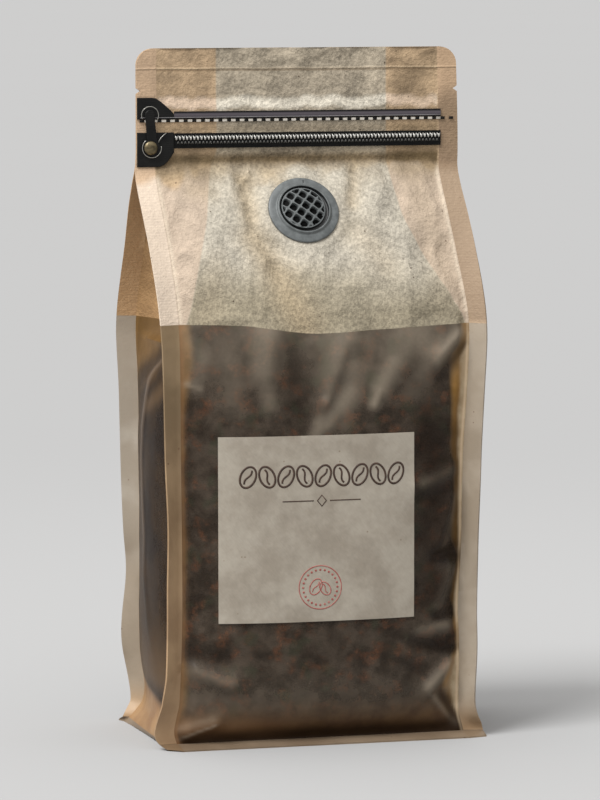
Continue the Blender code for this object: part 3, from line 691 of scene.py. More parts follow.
# %% The fold of each side
SIDE_LINE = ((0, -32), (22.7, -28.4), (34.2, -8.7), (58.8, 1.1), (71, 4.6), (86.4, 3.4), (115.4, 6.6), (130, 4.1),
             (151.8, -4.5), (170.5, -23.9), (287, -24))      # (height, depth) of the crease down each side
SIDE_HAZE_AND_SHEEN = ((-31, 153, -3, 139.5, 3.4, 0.28), (-7, 153, 13, 144.5, 3.2, 0.18), (-23, 168, -2, 150, 3.6, 0.20))
side_line = y - along(z, SIDE_LINE)
line = is_side * gauss(side_line, 0, 2.6) * smooth_step(z, 26, 74) * (1 - smooth_step(z, 148, 168))
side_haze_and_sheen = 0.09 * smooth_step(side_line, 0.5, 5) * smooth_step(z, 35, 60)
side_haze_and_sheen += 0.30 * (1 - smooth_step(z, 24, 56)) * smooth_step(z, 14, 26)
haze_and_sheen = np.where(is_side, np.maximum(side_haze_and_sheen, strokes(y, z, SIDE_HAZE_AND_SHEEN)), haze_and_sheen)
side_thin = 0.42 * smooth_step(z + 0.55 * y + 5 * cloud(y, z, 13, 95), 157, 170)
thin = np.where(is_side, np.maximum(side_thin, 0.9 * smooth_step(side_way, 0.84, 0.98)), thin)
foot_tan = is_side * (1 - smooth_step(z - 0.18 * y, 14, 20))

# %% How far the film stands off
LIFT_MOST = 4.6
lift = 4.4 * np.maximum(np.maximum(thin, pale), foot_tan) + 2.0 * golden + 1.4 * haze_and_sheen + 0.6 * low_band_shade
lift = np.clip(lift, 0, LIFT_MOST) + is_fin * 4.5
print("film stands off the coffee by up to", round(float(lift.max()), 1), "mm")

# %% Relief of the film
def inside(value, low, high, soft):
    """1 between low and high, 0 outside, with an edge that softens outwards."""
    return smooth_step(value, low - soft, low) * (1 - smooth_step(value, high, high + soft))


on_flap = smooth_step(z, 236, 241)
face_out = np.where(is_back, 1.0, -1.0)
pinch = 1.3 * cloud(x, x * 0, 5.5, 51) + 0.6 * cloud(x, x * 0, 2.4, 52)
bag[..., 1] += np.where(is_wide, -face_out * 0.62 * welt(z - pinch * (z > 250)) * smooth_step(z, 230, 240), 0)
slack = smooth_step(z, 168, 180)                      # kraft above the window crumples, the tight window hardly
from_valve = valve_reach(x, z) - VALVE_RADIUS
under_valve = smooth_step(from_valve, 0.5, 5) * is_front + (~is_front)
flat_x, flat_z = LABEL_WIDTH / 2 - 0.5, LABEL_HEIGHT / 2 - 0.5
under_label = (1 - is_front * inside(x, LABEL_X - flat_x, LABEL_X + flat_x, 5)
               * inside(z, LABEL_Z - flat_z, LABEL_Z + flat_z, 4))
off_zip = 1 - inside(z, 245, 262, 3)
paper = (1.1 * (crumple(x, z, 19, 11) - 0.5) + 0.8 * (crumple(x * 1.1, z, 9, 12) - 0.5)
         + 0.6 * cloud(x, z, 14, 13) + 0.26 * (crumple(x, z * 0.9, 4.4, 14) - 0.5)
         + 1.5 * (crumple(x, z * 0.35, 15, 91) - 0.45) * gauss(z, 235.5, 4.5))
window = 0.34 * cloud(x, z, 11, 21) + 0.16 * cloud(x, z, 5, 22) + 0.07 * cloud(x, z, 2.6, 23)
side_paper = 0.5 * cloud(y, z, 13, 31) + 0.3 * (crumple(y, z, 10, 32) - 0.5)
relief = np.where(is_side, side_paper * (0.35 + 0.65 * slack) + 0.55 * line, paper * slack + window * (1 - slack))
relief = relief * under_valve * (0.12 + 0.88 * under_label) * (0.12 + 0.88 * off_zip)
relief = relief * np.where(on_flap > 0.5, 0.55, 1.0)
relief = relief * smooth_step(z, 2.8, 7) * np.where(is_fin, 0, 1)
seam_near = np.where(is_front, np.minimum(from_left, from_right), np.where(is_back, from_edge, 99.0))
seam_fade = np.where(is_side, (1 - np.abs(side_way)) * 33, seam_near)
relief = relief * smooth_step(np.where(z > 234, 5, seam_fade), 0, 4)
bag = bag + normals(bag) * relief[..., None]

# %% [markdown]
# ## Film
# The bag is closed below by its base panel and above by the top seal. Both are made by shrinking the last
# section towards its middle, so the mesh stays closed and its faces stay small. Faces on fins and flanges get
# a second finish, because welded film is stiffer, paler and has no coffee behind it.

# %% Closed mesh of the bag
END_SHARES = (0.85, 0.6, 0.3, 0.06)
BASE_UP = (0.9, 0.9, 0.8, 0.3)          # the bottom panel rises a little inside its weld
columns = bag.shape[1]
base, crown = drawn_in(bag[0], END_SHARES[::-1]), drawn_in(bag[-1], END_SHARES)
base[..., 2] = np.array(BASE_UP)[:, None]
film_points, film_faces = closed_grid(np.concatenate((base, bag, crown)))


def on_grid(values, below=0.0, above=0.0):
    """Numbers of the bag's grid, extended over the rows of its base and crown."""
    ends = [np.full((len(END_SHARES), columns), number) for number in (below, above)]
    return np.concatenate((ends[0], values, ends[1]))


film_quads = np.array(film_faces[:-2])
column_of_face, row_of_face = film_quads[:, 0] % columns, film_quads[:, 0] // columns - len(END_SHARES)
next_part = np.roll(part_of_column, -1)
face_is_fin = (part_of_column[column_of_face] % 2 == 0) & (next_part[column_of_face] % 2 == 0)
face_is_flange = row_of_face < int(np.searchsorted(levels, FLANGE_ROOT))
face_kind = np.append((face_is_fin | face_is_flange).astype(int), (1, 1))

# %% Paper, field and flap
# the edge between paper and window, and the paler field where the paper has no folded side behind it
SIDE_EDGE = 173.9
PAPER_EDGE = ((-200, 174.5), (-57.5, 175.2), (-35, 174.7), (-2.8, 170.9), (25.6, 172.2), (61.8, 173.3), (200, 173.6))
FIELD_LEFT = ((150, -66), (175, -56.4), (200, -49), (213, -45), (240, -38), (245, -36), (287, -36))
FIELD_RIGHT = ((150, 70), (174, 62.3), (198, 49.3), (219.5, 39.6), (240, 37.2), (245, 37.2), (287, 37.2))
edge_round = np.where(is_front | on_part["front_left"] | on_part["front_right"], along(x, PAPER_EDGE), SIDE_EDGE)
above_edge = z - edge_round
field = np.where(is_wide, np.minimum(x - along(z, FIELD_LEFT), along(z, FIELD_RIGHT) - x), -20.0)
# the flap, two layers pressed together, is coloured darker than the bag below; its belt over the zip is pushed out and
# carries a painted highlight
belt_highlight = smooth_step(z - pinch, 261.5, 263.0) * (1 - smooth_step(z - pinch, 265.0, 267.5)) * is_wide
belt_highlight = belt_highlight * (1 - 0.45 * smooth_step(x, 36, 48))
flap_edge = 3.6 * cloud(x, z * 0.3, 7.5, 61) + 2.4 * cloud(x, z * 0.5, 3.2, 63) + 5 * (1 - smooth_step(x, -24, -6))
pressed = smooth_step(z + flap_edge - 1.5, 233.5, 237.5) * (1 - belt_highlight)
# painted shade in the hollows under the zip and between its tapes, and browner paper at the right of the flap
zip_shade_and_brown = (1.15 * gauss(z, 241.0, 3.2) + 0.55 * gauss(z, 253.6, 1.6)
          + 0.42 * smooth_step(cloud(x, z * 0.7, 8, 64), -0.35, 0.45) * gauss(z, 234.5, 4.5)
          + 0.25 * smooth_step(x, 36, 42) * smooth_step(z, 236, 240)) * is_wide
backed = is_wide * (1 - smooth_step(z + 5 * cloud(x, z, 17, 62), 178, 206))
# painted shade along the valleys of the paper's folds and below the zip
TROUGH_SHADE = ((-26, 231, -25, 210, 4.8, 0.8), (-25, 210, -16, 193, 6.6, 0.85), (-16, 193, -8, 173, 8.0, 0.8),
          (18, 212, 30, 199, 7, 0.35), (-60, 237, -36, 236, 4.5, 0.7), (40, 236, 58, 236, 3.5, 0.6),
          (-48, 229, -40, 228, 4, 0.4), (24, 238, 19, 222, 3.5, 0.6), (-15, 236, -11, 231, 3.5, 0.6),
          (-43, 199, -50, 178, 7, 0.25), (48, 234, 56, 190, 9, 0.30))
trough_shade = is_front * strokes(x, z, TROUGH_SHADE)

# %% [markdown]
# ### Kraft paper and frosted film
# Kraft paper is brown wood pulp: long fibres lying every way, lighter and darker clouds where the pulp is
# thick or thin, and a few dark specks. Noise at a few sizes gives all of it, from smears of 13 mm to fibres of
# half a millimetre. Below the paper the same laminate is bare frosted film. It isn't glass: it scatters,
# so it is drawn as a thin brown haze over the coffee, thicker where the film stands off.

# %% Colours of kraft paper
SEAL_LINE = 278.2               # height of the pressed line across the flap


def paper_colour(recipe, tan, pale, low):
    """Kraft: smears, felt, fibres and specks over the tan, the pale and the coffee-backed paper tones."""
    open_field, flap = recipe.stored("field").rise(-0.5, 0.6), recipe.stored("pressed")
    colour = layered(
        open_field.mix(flap.mix(tan, tone(174, 150, 121)), flap.mix(pale, tone(160, 149, 131))),
        (recipe.stored("backed") * open_field, low),
        (recipe.stored("trough_shade") * 0.8, tone(160, 143, 116)),
        (recipe.stored("zip_shade_and_brown") * 0.8, tone(100, 84, 60)),
        (recipe.stored("belt_highlight") * 0.85, open_field.mix(tone(214, 190, 166), tone(208, 200, 184))))
    smear = recipe.noise(13, detail=5.0, rough=0.62).rise(0.30, 0.70) - 0.5
    felt = recipe.noise(1.5, detail=3.0, rough=0.6, shift=9.0).rise(0.30, 0.70) - 0.5
    fibre = recipe.noise(1.0, stretch=(2.4, 2.4, 0.55), turn=(0, 0.5, 0), shift=3.0)
    cross = recipe.noise(1.0, stretch=(0.55, 1.8, 2.4), turn=(0, 0.3, 0), shift=17.0)
    lines = fibre.rise(0.3, 0.7) + cross.rise(0.3, 0.7) - 1.0
    colour = recipe.times(colour, 1.0 + smear * (0.24 + flap * 0.36) + felt * (0.14 + open_field * 0.24)
                          + lines * (0.05 + open_field * 0.10))
    # the seal across the flap is raised, with a painted highlight on its ridge and painted shade at its foot; the side
    # seams carry painted highlight lines
    seal = recipe.up() - SEAL_LINE - recipe.noise(20, detail=1.0, shift=6.0) * 0.8
    ridge = abs(seal).rise(0.55, 0.15)
    speck = recipe.cells(5.0).rise(0.10, 0.05) * recipe.noise(6, shift=31.0).rise(0.5, 0.56)
    colour = layered(
        colour,
        (ridge * (1.0 - open_field * 0.7) * 0.55, tone(205, 182, 150)),
        (abs(seal + 0.75).rise(0.6, 0.2) * 0.5, tone(104, 84, 60)),
        (recipe.stored("seam_highlight") * 0.40, tone(226, 212, 190)),
        (speck * 0.8, tone(70, 54, 40)))
    return colour, ridge, felt, fibre


def paper_relief(recipe, ridge, felt, fibre):
    """Bump of kraft: the seal's ridge, and fine fibres over a felt-like cockle."""
    return recipe.bump(felt, 0.18, recipe.bump(fibre, 0.08, recipe.bump(ridge, 0.25)))

# %% Film over coffee
film_recipe = Recipe("film")
is_paper = film_recipe.stored("above_edge").rise(-0.12, 0.12)
kraft, ridge, felt, fibre = paper_colour(film_recipe, tone(178, 161, 143), tone(172, 165, 151), tone(138, 129, 110))
side = film_recipe.stored("side")
side_cloud = film_recipe.noise(15, detail=3.0, shift=2.0).rise(0.33, 0.67)
# the side panels take a deeper, darker kraft: painted shade of the folded-in sides
kraft = side.mix(kraft, side_cloud.mix(tone(138, 108, 74), tone(162, 129, 91)))

mottle = film_recipe.noise(9, detail=4.0, rough=0.6, shift=4.0)
grit = film_recipe.noise(1.3, detail=3.0, rough=0.6, shift=41.0)
blotch = film_recipe.noise(3.8, shift=55.0).rise(0.34, 0.66)
rust = film_recipe.noise(6, detail=3.0, shift=14.0).rise(0.50, 0.66) * grit.rise(0.25, 0.75)
moss = film_recipe.noise(10, shift=24.0).rise(0.54, 0.70)
contact = layered(
    mottle.between(0.34, 0.66, tone(47, 39, 31), tone(76, 66, 56)),
    (rust * 0.8, tone(98, 64, 44)),
    (moss * 0.6, tone(56, 58, 44)),
    (side, side_cloud.mix(tone(31, 18, 5), tone(50, 34, 15))))
contact = film_recipe.times(contact, 0.86 + grit * 0.08 + blotch * 0.18)

# %% Film finish
above_floor, haze_and_sheen_share, pale_edge = film_recipe.up(), film_recipe.stored("haze_and_sheen"), film_recipe.stored("pale")
# a painted highlight along the crease down each side, turning into a dark line lower down
crease_highlight = abs(film_recipe.stored("side_line")).rise(3.6, 0.0) * side * above_floor.rise(30, 78)
crease_highlight = crease_highlight * above_floor.rise(168, 146) * above_floor.rise(56, 96, 0.16, 0.40)
# window layers: painted sheen on folds, painted shade in valleys and low down, painted light at seams
pane = layered(
    contact,
    (film_recipe.stored("thin"), mottle.between(0.3, 0.7, tone(122, 90, 44), tone(146, 110, 62))),
    (film_recipe.stored("golden"), mottle.between(0.3, 0.7, tone(62, 38, 16), tone(80, 56, 30))),
    ((haze_and_sheen_share + (grit - 0.5) * haze_and_sheen_share * 0.3).smaller(1.0), side.mix(tone(151, 139, 122), tone(142, 112, 78))),
    (film_recipe.stored("pocket_shade") * 0.75, tone(32, 22, 14)),
    (film_recipe.stored("low_band_shade") * 0.8, tone(28, 18, 10)),
    (film_recipe.stored("rust_edge"), tone(138, 102, 70)),
    (film_recipe.stored("foot_tan"), side_cloud.mix(tone(128, 96, 64), tone(148, 116, 80))),
    (pale_edge, mottle.between(0.35, 0.65, tone(156, 136, 108), tone(180, 164, 138))),
    (crease_highlight, above_floor.between(56, 80, tone(46, 34, 26), tone(142, 124, 108))),
    (film_recipe.stored("seam_highlight") * pale_edge * 0.7, tone(214, 190, 160)))
seen_through = 0.82 + film_recipe.stored("lift").rise(0.3, 2.0) * 0.18
film_relief = film_recipe.node("ShaderNodeMix", {"data_type": "VECTOR"},
                               {0: is_paper, 4: film_recipe.bump(grit, 0.006),
                                5: paper_relief(film_recipe, ridge, felt, fibre)}, output=1)
film_finish = film_recipe.finished(
    base_color=is_paper.mix(pane, kraft), roughness=0.40 + is_paper * 0.32 + (grit - 0.5) * 0.16,
    alpha=seen_through.larger(is_paper).smaller(1.0), normal=film_relief, specular_ior_level=0.16)

# %% Weld finish
weld_recipe = Recipe("film_weld")
weld_paper = weld_recipe.stored("above_edge").rise(-0.12, 0.12)
weld_kraft, ridge, felt, fibre = paper_colour(weld_recipe, *[tone(198, 182, 160)] * 3)
weld_kraft = weld_recipe.mix(0.5, weld_kraft, tone(212, 194, 178))
weld_kraft = (weld_recipe.stored("brown") * 0.9).mix(weld_kraft, tone(177, 140, 97))
weld_cloud = weld_recipe.noise(22, detail=3.0, shift=7.0).rise(0.36, 0.64)
weld_speck = weld_recipe.cells(7.0).rise(0.075, 0.04) * weld_recipe.noise(15, shift=51.0).rise(0.48, 0.56)
weld_film = layered(
    weld_cloud.mix(tone(160, 148, 132), tone(178, 168, 154)),
    (weld_recipe.stored("olive"), weld_cloud.mix(tone(120, 101, 75), tone(140, 119, 91))),
    (weld_recipe.stored("warm"), weld_cloud.mix(tone(146, 119, 90), tone(166, 138, 106))),
    (weld_speck * 0.7, tone(96, 62, 44)))
ribs = weld_recipe.ribs(1.1, 0.5)
weld_shade = (1.0 - ribs * weld_paper * 0.06) * (1.0 - weld_recipe.stored("weld_painted_shade"))
weld_relief = paper_relief(weld_recipe, ridge, felt * (0.15 + 0.45 * weld_paper), fibre * (0.3 + 0.4 * weld_paper))
weld_finish = weld_recipe.finished(
    base_color=weld_recipe.times(weld_paper.mix(weld_film, weld_kraft), weld_shade),
    roughness=0.46 + weld_paper * 0.24, normal=weld_recipe.bump(ribs * weld_paper, 0.015, weld_relief),
    specular_ior_level=0.3)

# %% The film piece
film = add_piece("film_bag", film_points, film_faces, [film_finish, weld_finish], "film", ("pouch",), face_kind)
sharpen(film, 50)
is_flange = z <= FLANGE_ROOT
front_left, front_right, back_right, back_left = (on_part[name] for name in PARTS[::2])
# a reddish-brown strip beside the left seam and low on the left: the thin coffee's own tint, with painted light over
# the shade of the groove at the seam
rust_edge = np.clip(0.8 * (1 - smooth_step(from_left, 0.4, 1.3)) + 0.20 * (1 - smooth_step(from_left, 1, 3.5)), 0, 1)
rust_edge = is_front * np.maximum(rust_edge, 0.28 * gauss(z, 9, 4) * smooth_step(-x, 0, 30))
warm = np.maximum((1 - smooth_step(z, 2, 20)) * np.where(is_flange, 0.7, 1),
                  front_left * (1 - smooth_step(z, 60, 165)))
# painted shade: a darker base weld, back-left fin low down and front-right fin
weld_painted_shade = np.maximum(0.54 * is_flange, 0.24 * back_left * gauss(z, 55, 30))
weld_painted_shade = np.maximum(weld_painted_shade, front_right * (0.12 + 0.30 * smooth_step(z, 173, 175)) * (1 - smooth_step(z, 262, 275)))
olive = front_left * 1.0 + back_left * 0.5 * (1 - smooth_step(z, 60, 95)) + front_right * 0.35
# browner kraft on the back fins, the front-right fin and the front-left fin on the flap: partly the paper's own browner
# side, partly painted shade
brown = back_left * 1.0 + back_right * 1.0 + front_right * 0.6 + front_left * 0.5 * pressed
# a painted highlight line beside the seams of the front and back
seam_highlight = gauss(seam_near, 0.9, 0.9) * (1 - pressed) * is_wide

# %% Numbers of the film
part_before, part_after = np.roll(part_of_column, 1), np.roll(part_of_column, -1)
on_weld = part_of_column % 2 == 0
beside = (np.arange(columns) + np.where(on_weld & (part_after % 2 == 1), 1, 0)
          - np.where(on_weld & (part_before % 2 == 1), 1, 0)) % columns
# (values, their number below the bag's first row and above its last); a weld's last column takes the panel's own
# values, so no pale line shows at a seam
PANEL_NUMBERS = {
    "side": (is_side, 0, 0), "thin": (thin, 1, 0), "golden": (golden, 0, 0), "low_band_shade": (low_band_shade, 0, 0),
    "pale": (np.clip(pale, 0, 1), 1, 0), "haze_and_sheen": (np.clip(haze_and_sheen, 0, 1), 0, 0), "pocket_shade": (pocket_shade, 0, 0),
    "side_line": (np.where(is_side, side_line, 99.0), 99, 99), "rust_edge": (rust_edge, 0, 0),
    "foot_tan": (foot_tan, 0, 0)}
BAG_NUMBERS = {
    "above_edge": (above_edge, -60, 60), "field": (field, -20, -20), "lift": (lift, 4, 0), "pressed": (pressed, 0, 1),
    "zip_shade_and_brown": (zip_shade_and_brown, 0, 0), "backed": (backed, 0, 0), "trough_shade": (trough_shade, 0, 0), "belt_highlight": (belt_highlight, 0, 0),
    "seam_highlight": (seam_highlight, 0, 0), "brown": (brown, 0, 0), "olive": (olive, 0, 0),
    "warm": (np.clip(warm, 0, 1), 1, 0), "weld_painted_shade": (weld_painted_shade, 0.42, 0)}
for name, (values, below, above) in BAG_NUMBERS.items():
    store(film, name, on_grid(values, float(below), float(above)))
for name, (values, below, above) in PANEL_NUMBERS.items():
    store(film, name, on_grid(values[:, beside] * 1.0, float(below), float(above)))

# %% [markdown]
# ## Coffee
# Ground coffee fills the bag to just above the window. It could be thousands of grains, but behind frosted
# film only its dark mass and a little grain show. So it is the bag's own section moved inwards by the gap, and
# its finish breaks the surface into grains.

# %% Coffee body
COFFEE_GAP, GRAIN = 0.9, 0.16           # least space under the film, and how rough the heap is
COFFEE_FOOT, COFFEE_TOP, COFFEE_FLOOR = 2.8, 190, 1.2
panel_columns = np.flatnonzero(part_of_column % 2 == 1)
coffee_rows = (levels >= COFFEE_FOOT) & (levels <= COFFEE_TOP)
coffee_grid = sections(levels)[0][:, panel_columns][coffee_rows]
inset = COFFEE_GAP + np.clip(lift[:, panel_columns][coffee_rows], 0, 5.0)
coffee_grid = coffee_grid - normals(coffee_grid) * inset[..., None]
grain = GRAIN + GRAIN * cloud(coffee_grid[..., 0] + coffee_grid[..., 1], coffee_grid[..., 2], 1.7, 71)
coffee_grid = coffee_grid - normals(coffee_grid) * grain[..., None]
coffee_grid[..., 2] = np.maximum(coffee_grid[..., 2], COFFEE_FLOOR)
HEAP_SHARES, HEAP_UP = (0.7, 0.4, 0.1), (1.0, 1.6, 1.8)
coffee_foot, heap = drawn_in(coffee_grid[0], HEAP_SHARES[::-1]), drawn_in(coffee_grid[-1], HEAP_SHARES)
heap[..., 2] += np.array(HEAP_UP)[:, None]
coffee_shape = closed_grid(np.concatenate((coffee_foot, coffee_grid, heap)))

# %% Coffee finish
coffee_recipe = Recipe("ground_coffee")
crumb = coffee_recipe.cells(1.1)
crumb_shade = coffee_recipe.node("ShaderNodeSeparateColor", sockets={0: coffee_recipe.cells(1.1, output="Color")})
coffee_colour = layered(
    crumb_shade.mix(tone(40, 28, 20), tone(78, 54, 36)),
    (coffee_recipe.noise(9, detail=3.0).rise(0.35, 0.7) * 0.5, tone(36, 30, 26)))
coffee_finish = coffee_recipe.finished(base_color=coffee_colour, roughness=0.8,
                                       normal=coffee_recipe.bump(crumb, 0.35), specular_ior_level=0.3)
add_piece("ground_coffee", *coffee_shape, [coffee_finish])

# %% [markdown]
# ## Label
# A nearly square sheet of uncoated paper, stuck to the swell of the front. It could be a plane with a shrinkwrap on the
# film. Here its points are taken from the same formula as the film and pushed out by the thickness of a glue
# line, which keeps it clear of the film everywhere. The printing is left generic: a row of beans, a rule with
# a diamond and a round dotted mark.

# %% Points on the label
GLUE, PAPER_FRONT, INK_FRONT, INK_DEEP = 0.34, 0.62, 0.70, 0.10     # distances from the film, and the ink's depth


def label_point(u, v, out):
    """A point at (u, v) millimetres from the label's middle, out millimetres in front of the film."""
    across, up = LABEL_X + u, LABEL_Z + v
    return np.stack((across, front_y(across, up, fine=False) - out, up), axis=-1)


def label_curl(u, v):
    """How far the paper's front cockles."""
    return 0.10 * cloud(u, v, 9, 81)


def edged_sheet(front, back):
    """Close two grids of points into one thin sheet: front, back and the rim between them."""
    count = front.shape[0] * front.shape[1]
    number = np.arange(count).reshape(front.shape[:2])
    rim = np.concatenate((number[0, :-1], number[:-1, -1], number[-1, :0:-1], number[:0:-1, 0]))
    face_front, following = lattice(*front.shape[:2]), np.roll(rim, -1)
    walls = np.stack((following, rim, rim + count, following + count), axis=1)
    return (np.concatenate((front.reshape(-1, 3), back.reshape(-1, 3))),
            np.concatenate((face_front, face_front[:, ::-1] + count, walls)))

# %% Label paper
u_grid, v_grid = np.meshgrid(np.linspace(-0.5, 0.5, 97) * LABEL_WIDTH, np.linspace(-0.5, 0.5, 91) * LABEL_HEIGHT)
label_recipe = Recipe("label_paper")
pulp = label_recipe.noise(16, detail=4.0, rough=0.6)
pulp_fine = label_recipe.noise(2.4, detail=3.0, shift=12.0)
pulp_fibre = label_recipe.noise(1.0, detail=1.0, stretch=(2.6, 2.0, 0.6), turn=(0, 0.9, 0), shift=8.0)
label_colour = label_recipe.times(pulp.between(0.34, 0.66, tone(143, 134, 121), tone(161, 153, 140)),
                                  1.0 + (pulp_fine - 0.5) * 0.22 + (pulp_fibre - 0.5) * 0.14)
label_colour = (label_recipe.cells(7).rise(0.07, 0.03) * 0.6).mix(label_colour, tone(112, 92, 70))
label_finish = label_recipe.finished(base_color=label_colour, roughness=0.85, specular_ior_level=0.25,
                                     normal=label_recipe.bump(pulp_fibre, 0.04, label_recipe.bump(pulp_fine, 0.05)))
label_shape = edged_sheet(label_point(u_grid, v_grid, PAPER_FRONT + label_curl(u_grid, v_grid)),
                          label_point(u_grid, v_grid, GLUE))
sharpen(add_piece("label_sheet", *label_shape, [label_finish], "label_paper", ("label",)), 40)

# %% Printed lines
def printed_line(u, v, width, closed=False):
    """A line of ink: a flat four-cornered section carried along a path on the label, ends joined or closed."""
    if closed:
        forward = np.stack((np.roll(u, -1) - np.roll(u, 1), np.roll(v, -1) - np.roll(v, 1)), axis=-1)
    else:
        forward = np.stack((np.gradient(u), np.gradient(v)), axis=-1)
    forward /= np.linalg.norm(forward, axis=1, keepdims=True)
    aside = np.stack((-forward[:, 1], forward[:, 0]), axis=-1) * width / 2
    lines = []
    for edge, out in ((-1, INK_FRONT - INK_DEEP), (1, INK_FRONT - INK_DEEP), (1, INK_FRONT), (-1, INK_FRONT)):
        edge_u, edge_v = u + edge * aside[:, 0], v + edge * aside[:, 1]
        lines.append(label_point(edge_u, edge_v, out + label_curl(edge_u, edge_v)))
    grid = np.stack(lines, axis=1)
    if closed:
        return grid.reshape(-1, 3), lattice(len(u), 4, wrap=True, wrap_rows=True).tolist()
    return closed_grid(grid)


def join(shapes):
    """Put several (points, faces) shapes into one."""
    points, faces, start = [], [], 0
    for shape_points, shape_faces in shapes:
        points.append(np.asarray(shape_points).reshape(-1, 3))
        faces += [[corner + start for corner in face] for face in shape_faces]
        start += len(points[-1])
    return np.concatenate(points), faces

# %% A bean drawn in line
def bean(u, v, high, lean, width):
    """Outline and slit of a coffee bean: an ellipse leaning by an angle, and an S down its middle."""
    turn = round_angles(40)
    along_bean, across_bean = high / 2 * np.cos(turn), high * 0.34 * np.sin(turn)
    slit = np.linspace(-0.36, 0.36, 15) * high
    bend = 0.075 * high * np.sin(slit / high * 7.5)
    cos, sin = math.cos(lean), math.sin(lean)
    return [printed_line(u + sin * run + cos * side_, v + cos * run - sin * side_, width * weight, closed)
            for run, side_, weight, closed in ((along_bean, across_bean, 1, True), (slit, bend, 0.9, False))]

# %% Ink
ink_recipe, red_recipe = Recipe("ink_brown"), Recipe("ink_red")
ink_finish = ink_recipe.finished(
    base_color=ink_recipe.noise(1.2).between(0.3, 0.75, tone(50, 34, 24), tone(72, 52, 38)), roughness=0.7)
red_finish = red_recipe.finished(
    base_color=red_recipe.noise(1.5, detail=3.0).between(0.35, 0.7, tone(150, 74, 66), tone(168, 112, 102)),
    roughness=0.75)

# %% Heading and round mark
BEANS, BEAN_STEP, BEAN_LEFT, HEADING_UP, BEAN_HIGH = 9, 7.85, -29.5, 21.9, 9.0
RULE_MIDDLE, RULE_UP = 1.3, 11.6
MARK_ACROSS, MARK_UP, MARK_REACH, DOTS_REACH, DOTS = 0.5, -24.3, 9.0, 7.3, 24
heading = [shape for number in range(BEANS)
           for shape in bean(BEAN_LEFT + BEAN_STEP * number, HEADING_UP, BEAN_HIGH, 0.42 * (-1) ** number, 0.85)]
heading += [printed_line(np.linspace(*ends, 12) + RULE_MIDDLE, np.full(12, RULE_UP), 0.45)
            for ends in ((-16.6, -3.4), (3.4, 16.6))]
heading.append(printed_line(np.array((0, 1.9, 0, -1.9)) + RULE_MIDDLE,      # the diamond
                            np.array((2.3, 0, -2.3, 0)) + RULE_UP, 0.5, True))
add_piece("label_heading", *join(heading), [ink_finish])
ring, dot = round_angles(72), round_angles(8)
mark = [printed_line(MARK_ACROSS + MARK_REACH * np.cos(ring), MARK_UP + MARK_REACH * np.sin(ring), 0.42, True)]
mark += [printed_line(MARK_ACROSS + DOTS_REACH * math.cos(spot) + 0.28 * np.cos(dot),
                      MARK_UP + DOTS_REACH * math.sin(spot) + 0.28 * np.sin(dot), 0.4, True)
         for spot in round_angles(DOTS)]
mark += bean(-1.4, -24.0, 7.0, 0.5, 0.45) + bean(2.6, -24.8, 6.0, -0.6, 0.45)
add_piece("label_mark", *join(mark), [red_finish])

# %% [markdown]
# ## Degassing valve
# Roasted coffee gives off gas, so the bag has a one-way valve: a moulded flange fixed to the film, with a
# raised rim, a groove and a domed grid over a rubber disc. Round parts are a profile turned round an axis. The
# grid could be cut with a boolean, but a height field on a lattice lined up with the bars gives cleaner edges:
# the surface drops wherever a hole is.

# %% Valve place
VALVE_GLUE = 0.3                # distance from the film
valve_out, valve_right = Vector((0, -1, VALVE_SLOPE)).normalized(), Vector((1, 0, 0))
valve_axes = np.array((valve_right, valve_out.cross(valve_right), valve_out))
valve_origin = np.array((VALVE_X, -VALVE_OUT, VALVE_Z)) + VALVE_GLUE * valve_axes[2]


def on_valve(points):
    """Stand points that are modelled round +Z on the sloping film."""
    return np.asarray(points) @ valve_axes + valve_origin


def turned(profile, steps=96):
    """Carry a closed (radius, height) profile round the axis."""
    radius, height = np.array(profile, float).T
    angle = round_angles(steps)[:, None]
    points = np.stack(np.broadcast_arrays(radius * np.cos(angle), radius * np.sin(angle), height), axis=-1)
    return points.reshape(-1, 3), lattice(steps, len(radius), wrap=True, wrap_rows=True)[:, ::-1]


def spun(u, v, angle):
    """Turn two coordinates about the middle."""
    return math.cos(angle) * u - math.sin(angle) * v, math.sin(angle) * u + math.cos(angle) * v

# %% Valve finish
plastic_recipe, rubber_recipe = Recipe("valve_plastic"), Recipe("valve_rubber")
scuff = plastic_recipe.noise(3.0, detail=4.0, rough=0.6)
plastic_finish = plastic_recipe.finished(
    base_color=(plastic_recipe.stored("hollow") * 0.92).mix(
        scuff.between(0.35, 0.7, tone(78, 82, 82), tone(98, 102, 102)), tone(12, 14, 14)),
    roughness=scuff.rise(0.3, 0.7, 0.40, 0.55), specular_ior_level=0.5,
    normal=plastic_recipe.bump(plastic_recipe.noise(0.7, detail=1.0), 0.02))
rubber_finish = rubber_recipe.finished(
    base_color=rubber_recipe.noise(1.5, detail=3.0).mix(tone(3, 3, 3), tone(9, 9, 9)),
    roughness=0.75, specular_ior_level=0.12)

# %% Flange and rim
RING = [(15.0, 0.0), (15.0, 0.30), (14.86, 0.52), (14.5, 0.68), (13.4, 0.96), (12.3, 1.10), (11.9, 1.12),
        (11.6, 1.25), (11.4, 1.65), (11.15, 1.95), (10.85, 2.02), (10.6, 1.94), (10.45, 1.5), (10.35, 0.6),
        (9.95, 0.3), (9.6, 0.4), (9.45, 1.4), (9.25, 1.75), (8.9, 1.8), (8.8, 0.3), (8.8, 0.0)]
# the grid sits a little to the upper left of the rim, so the groove round it is a crescent
GRID_SHIFT = np.array((-0.34, 0.34))
ring_points, ring_faces = turned(RING)
ring_reach = np.hypot(ring_points[:, 0], ring_points[:, 1])
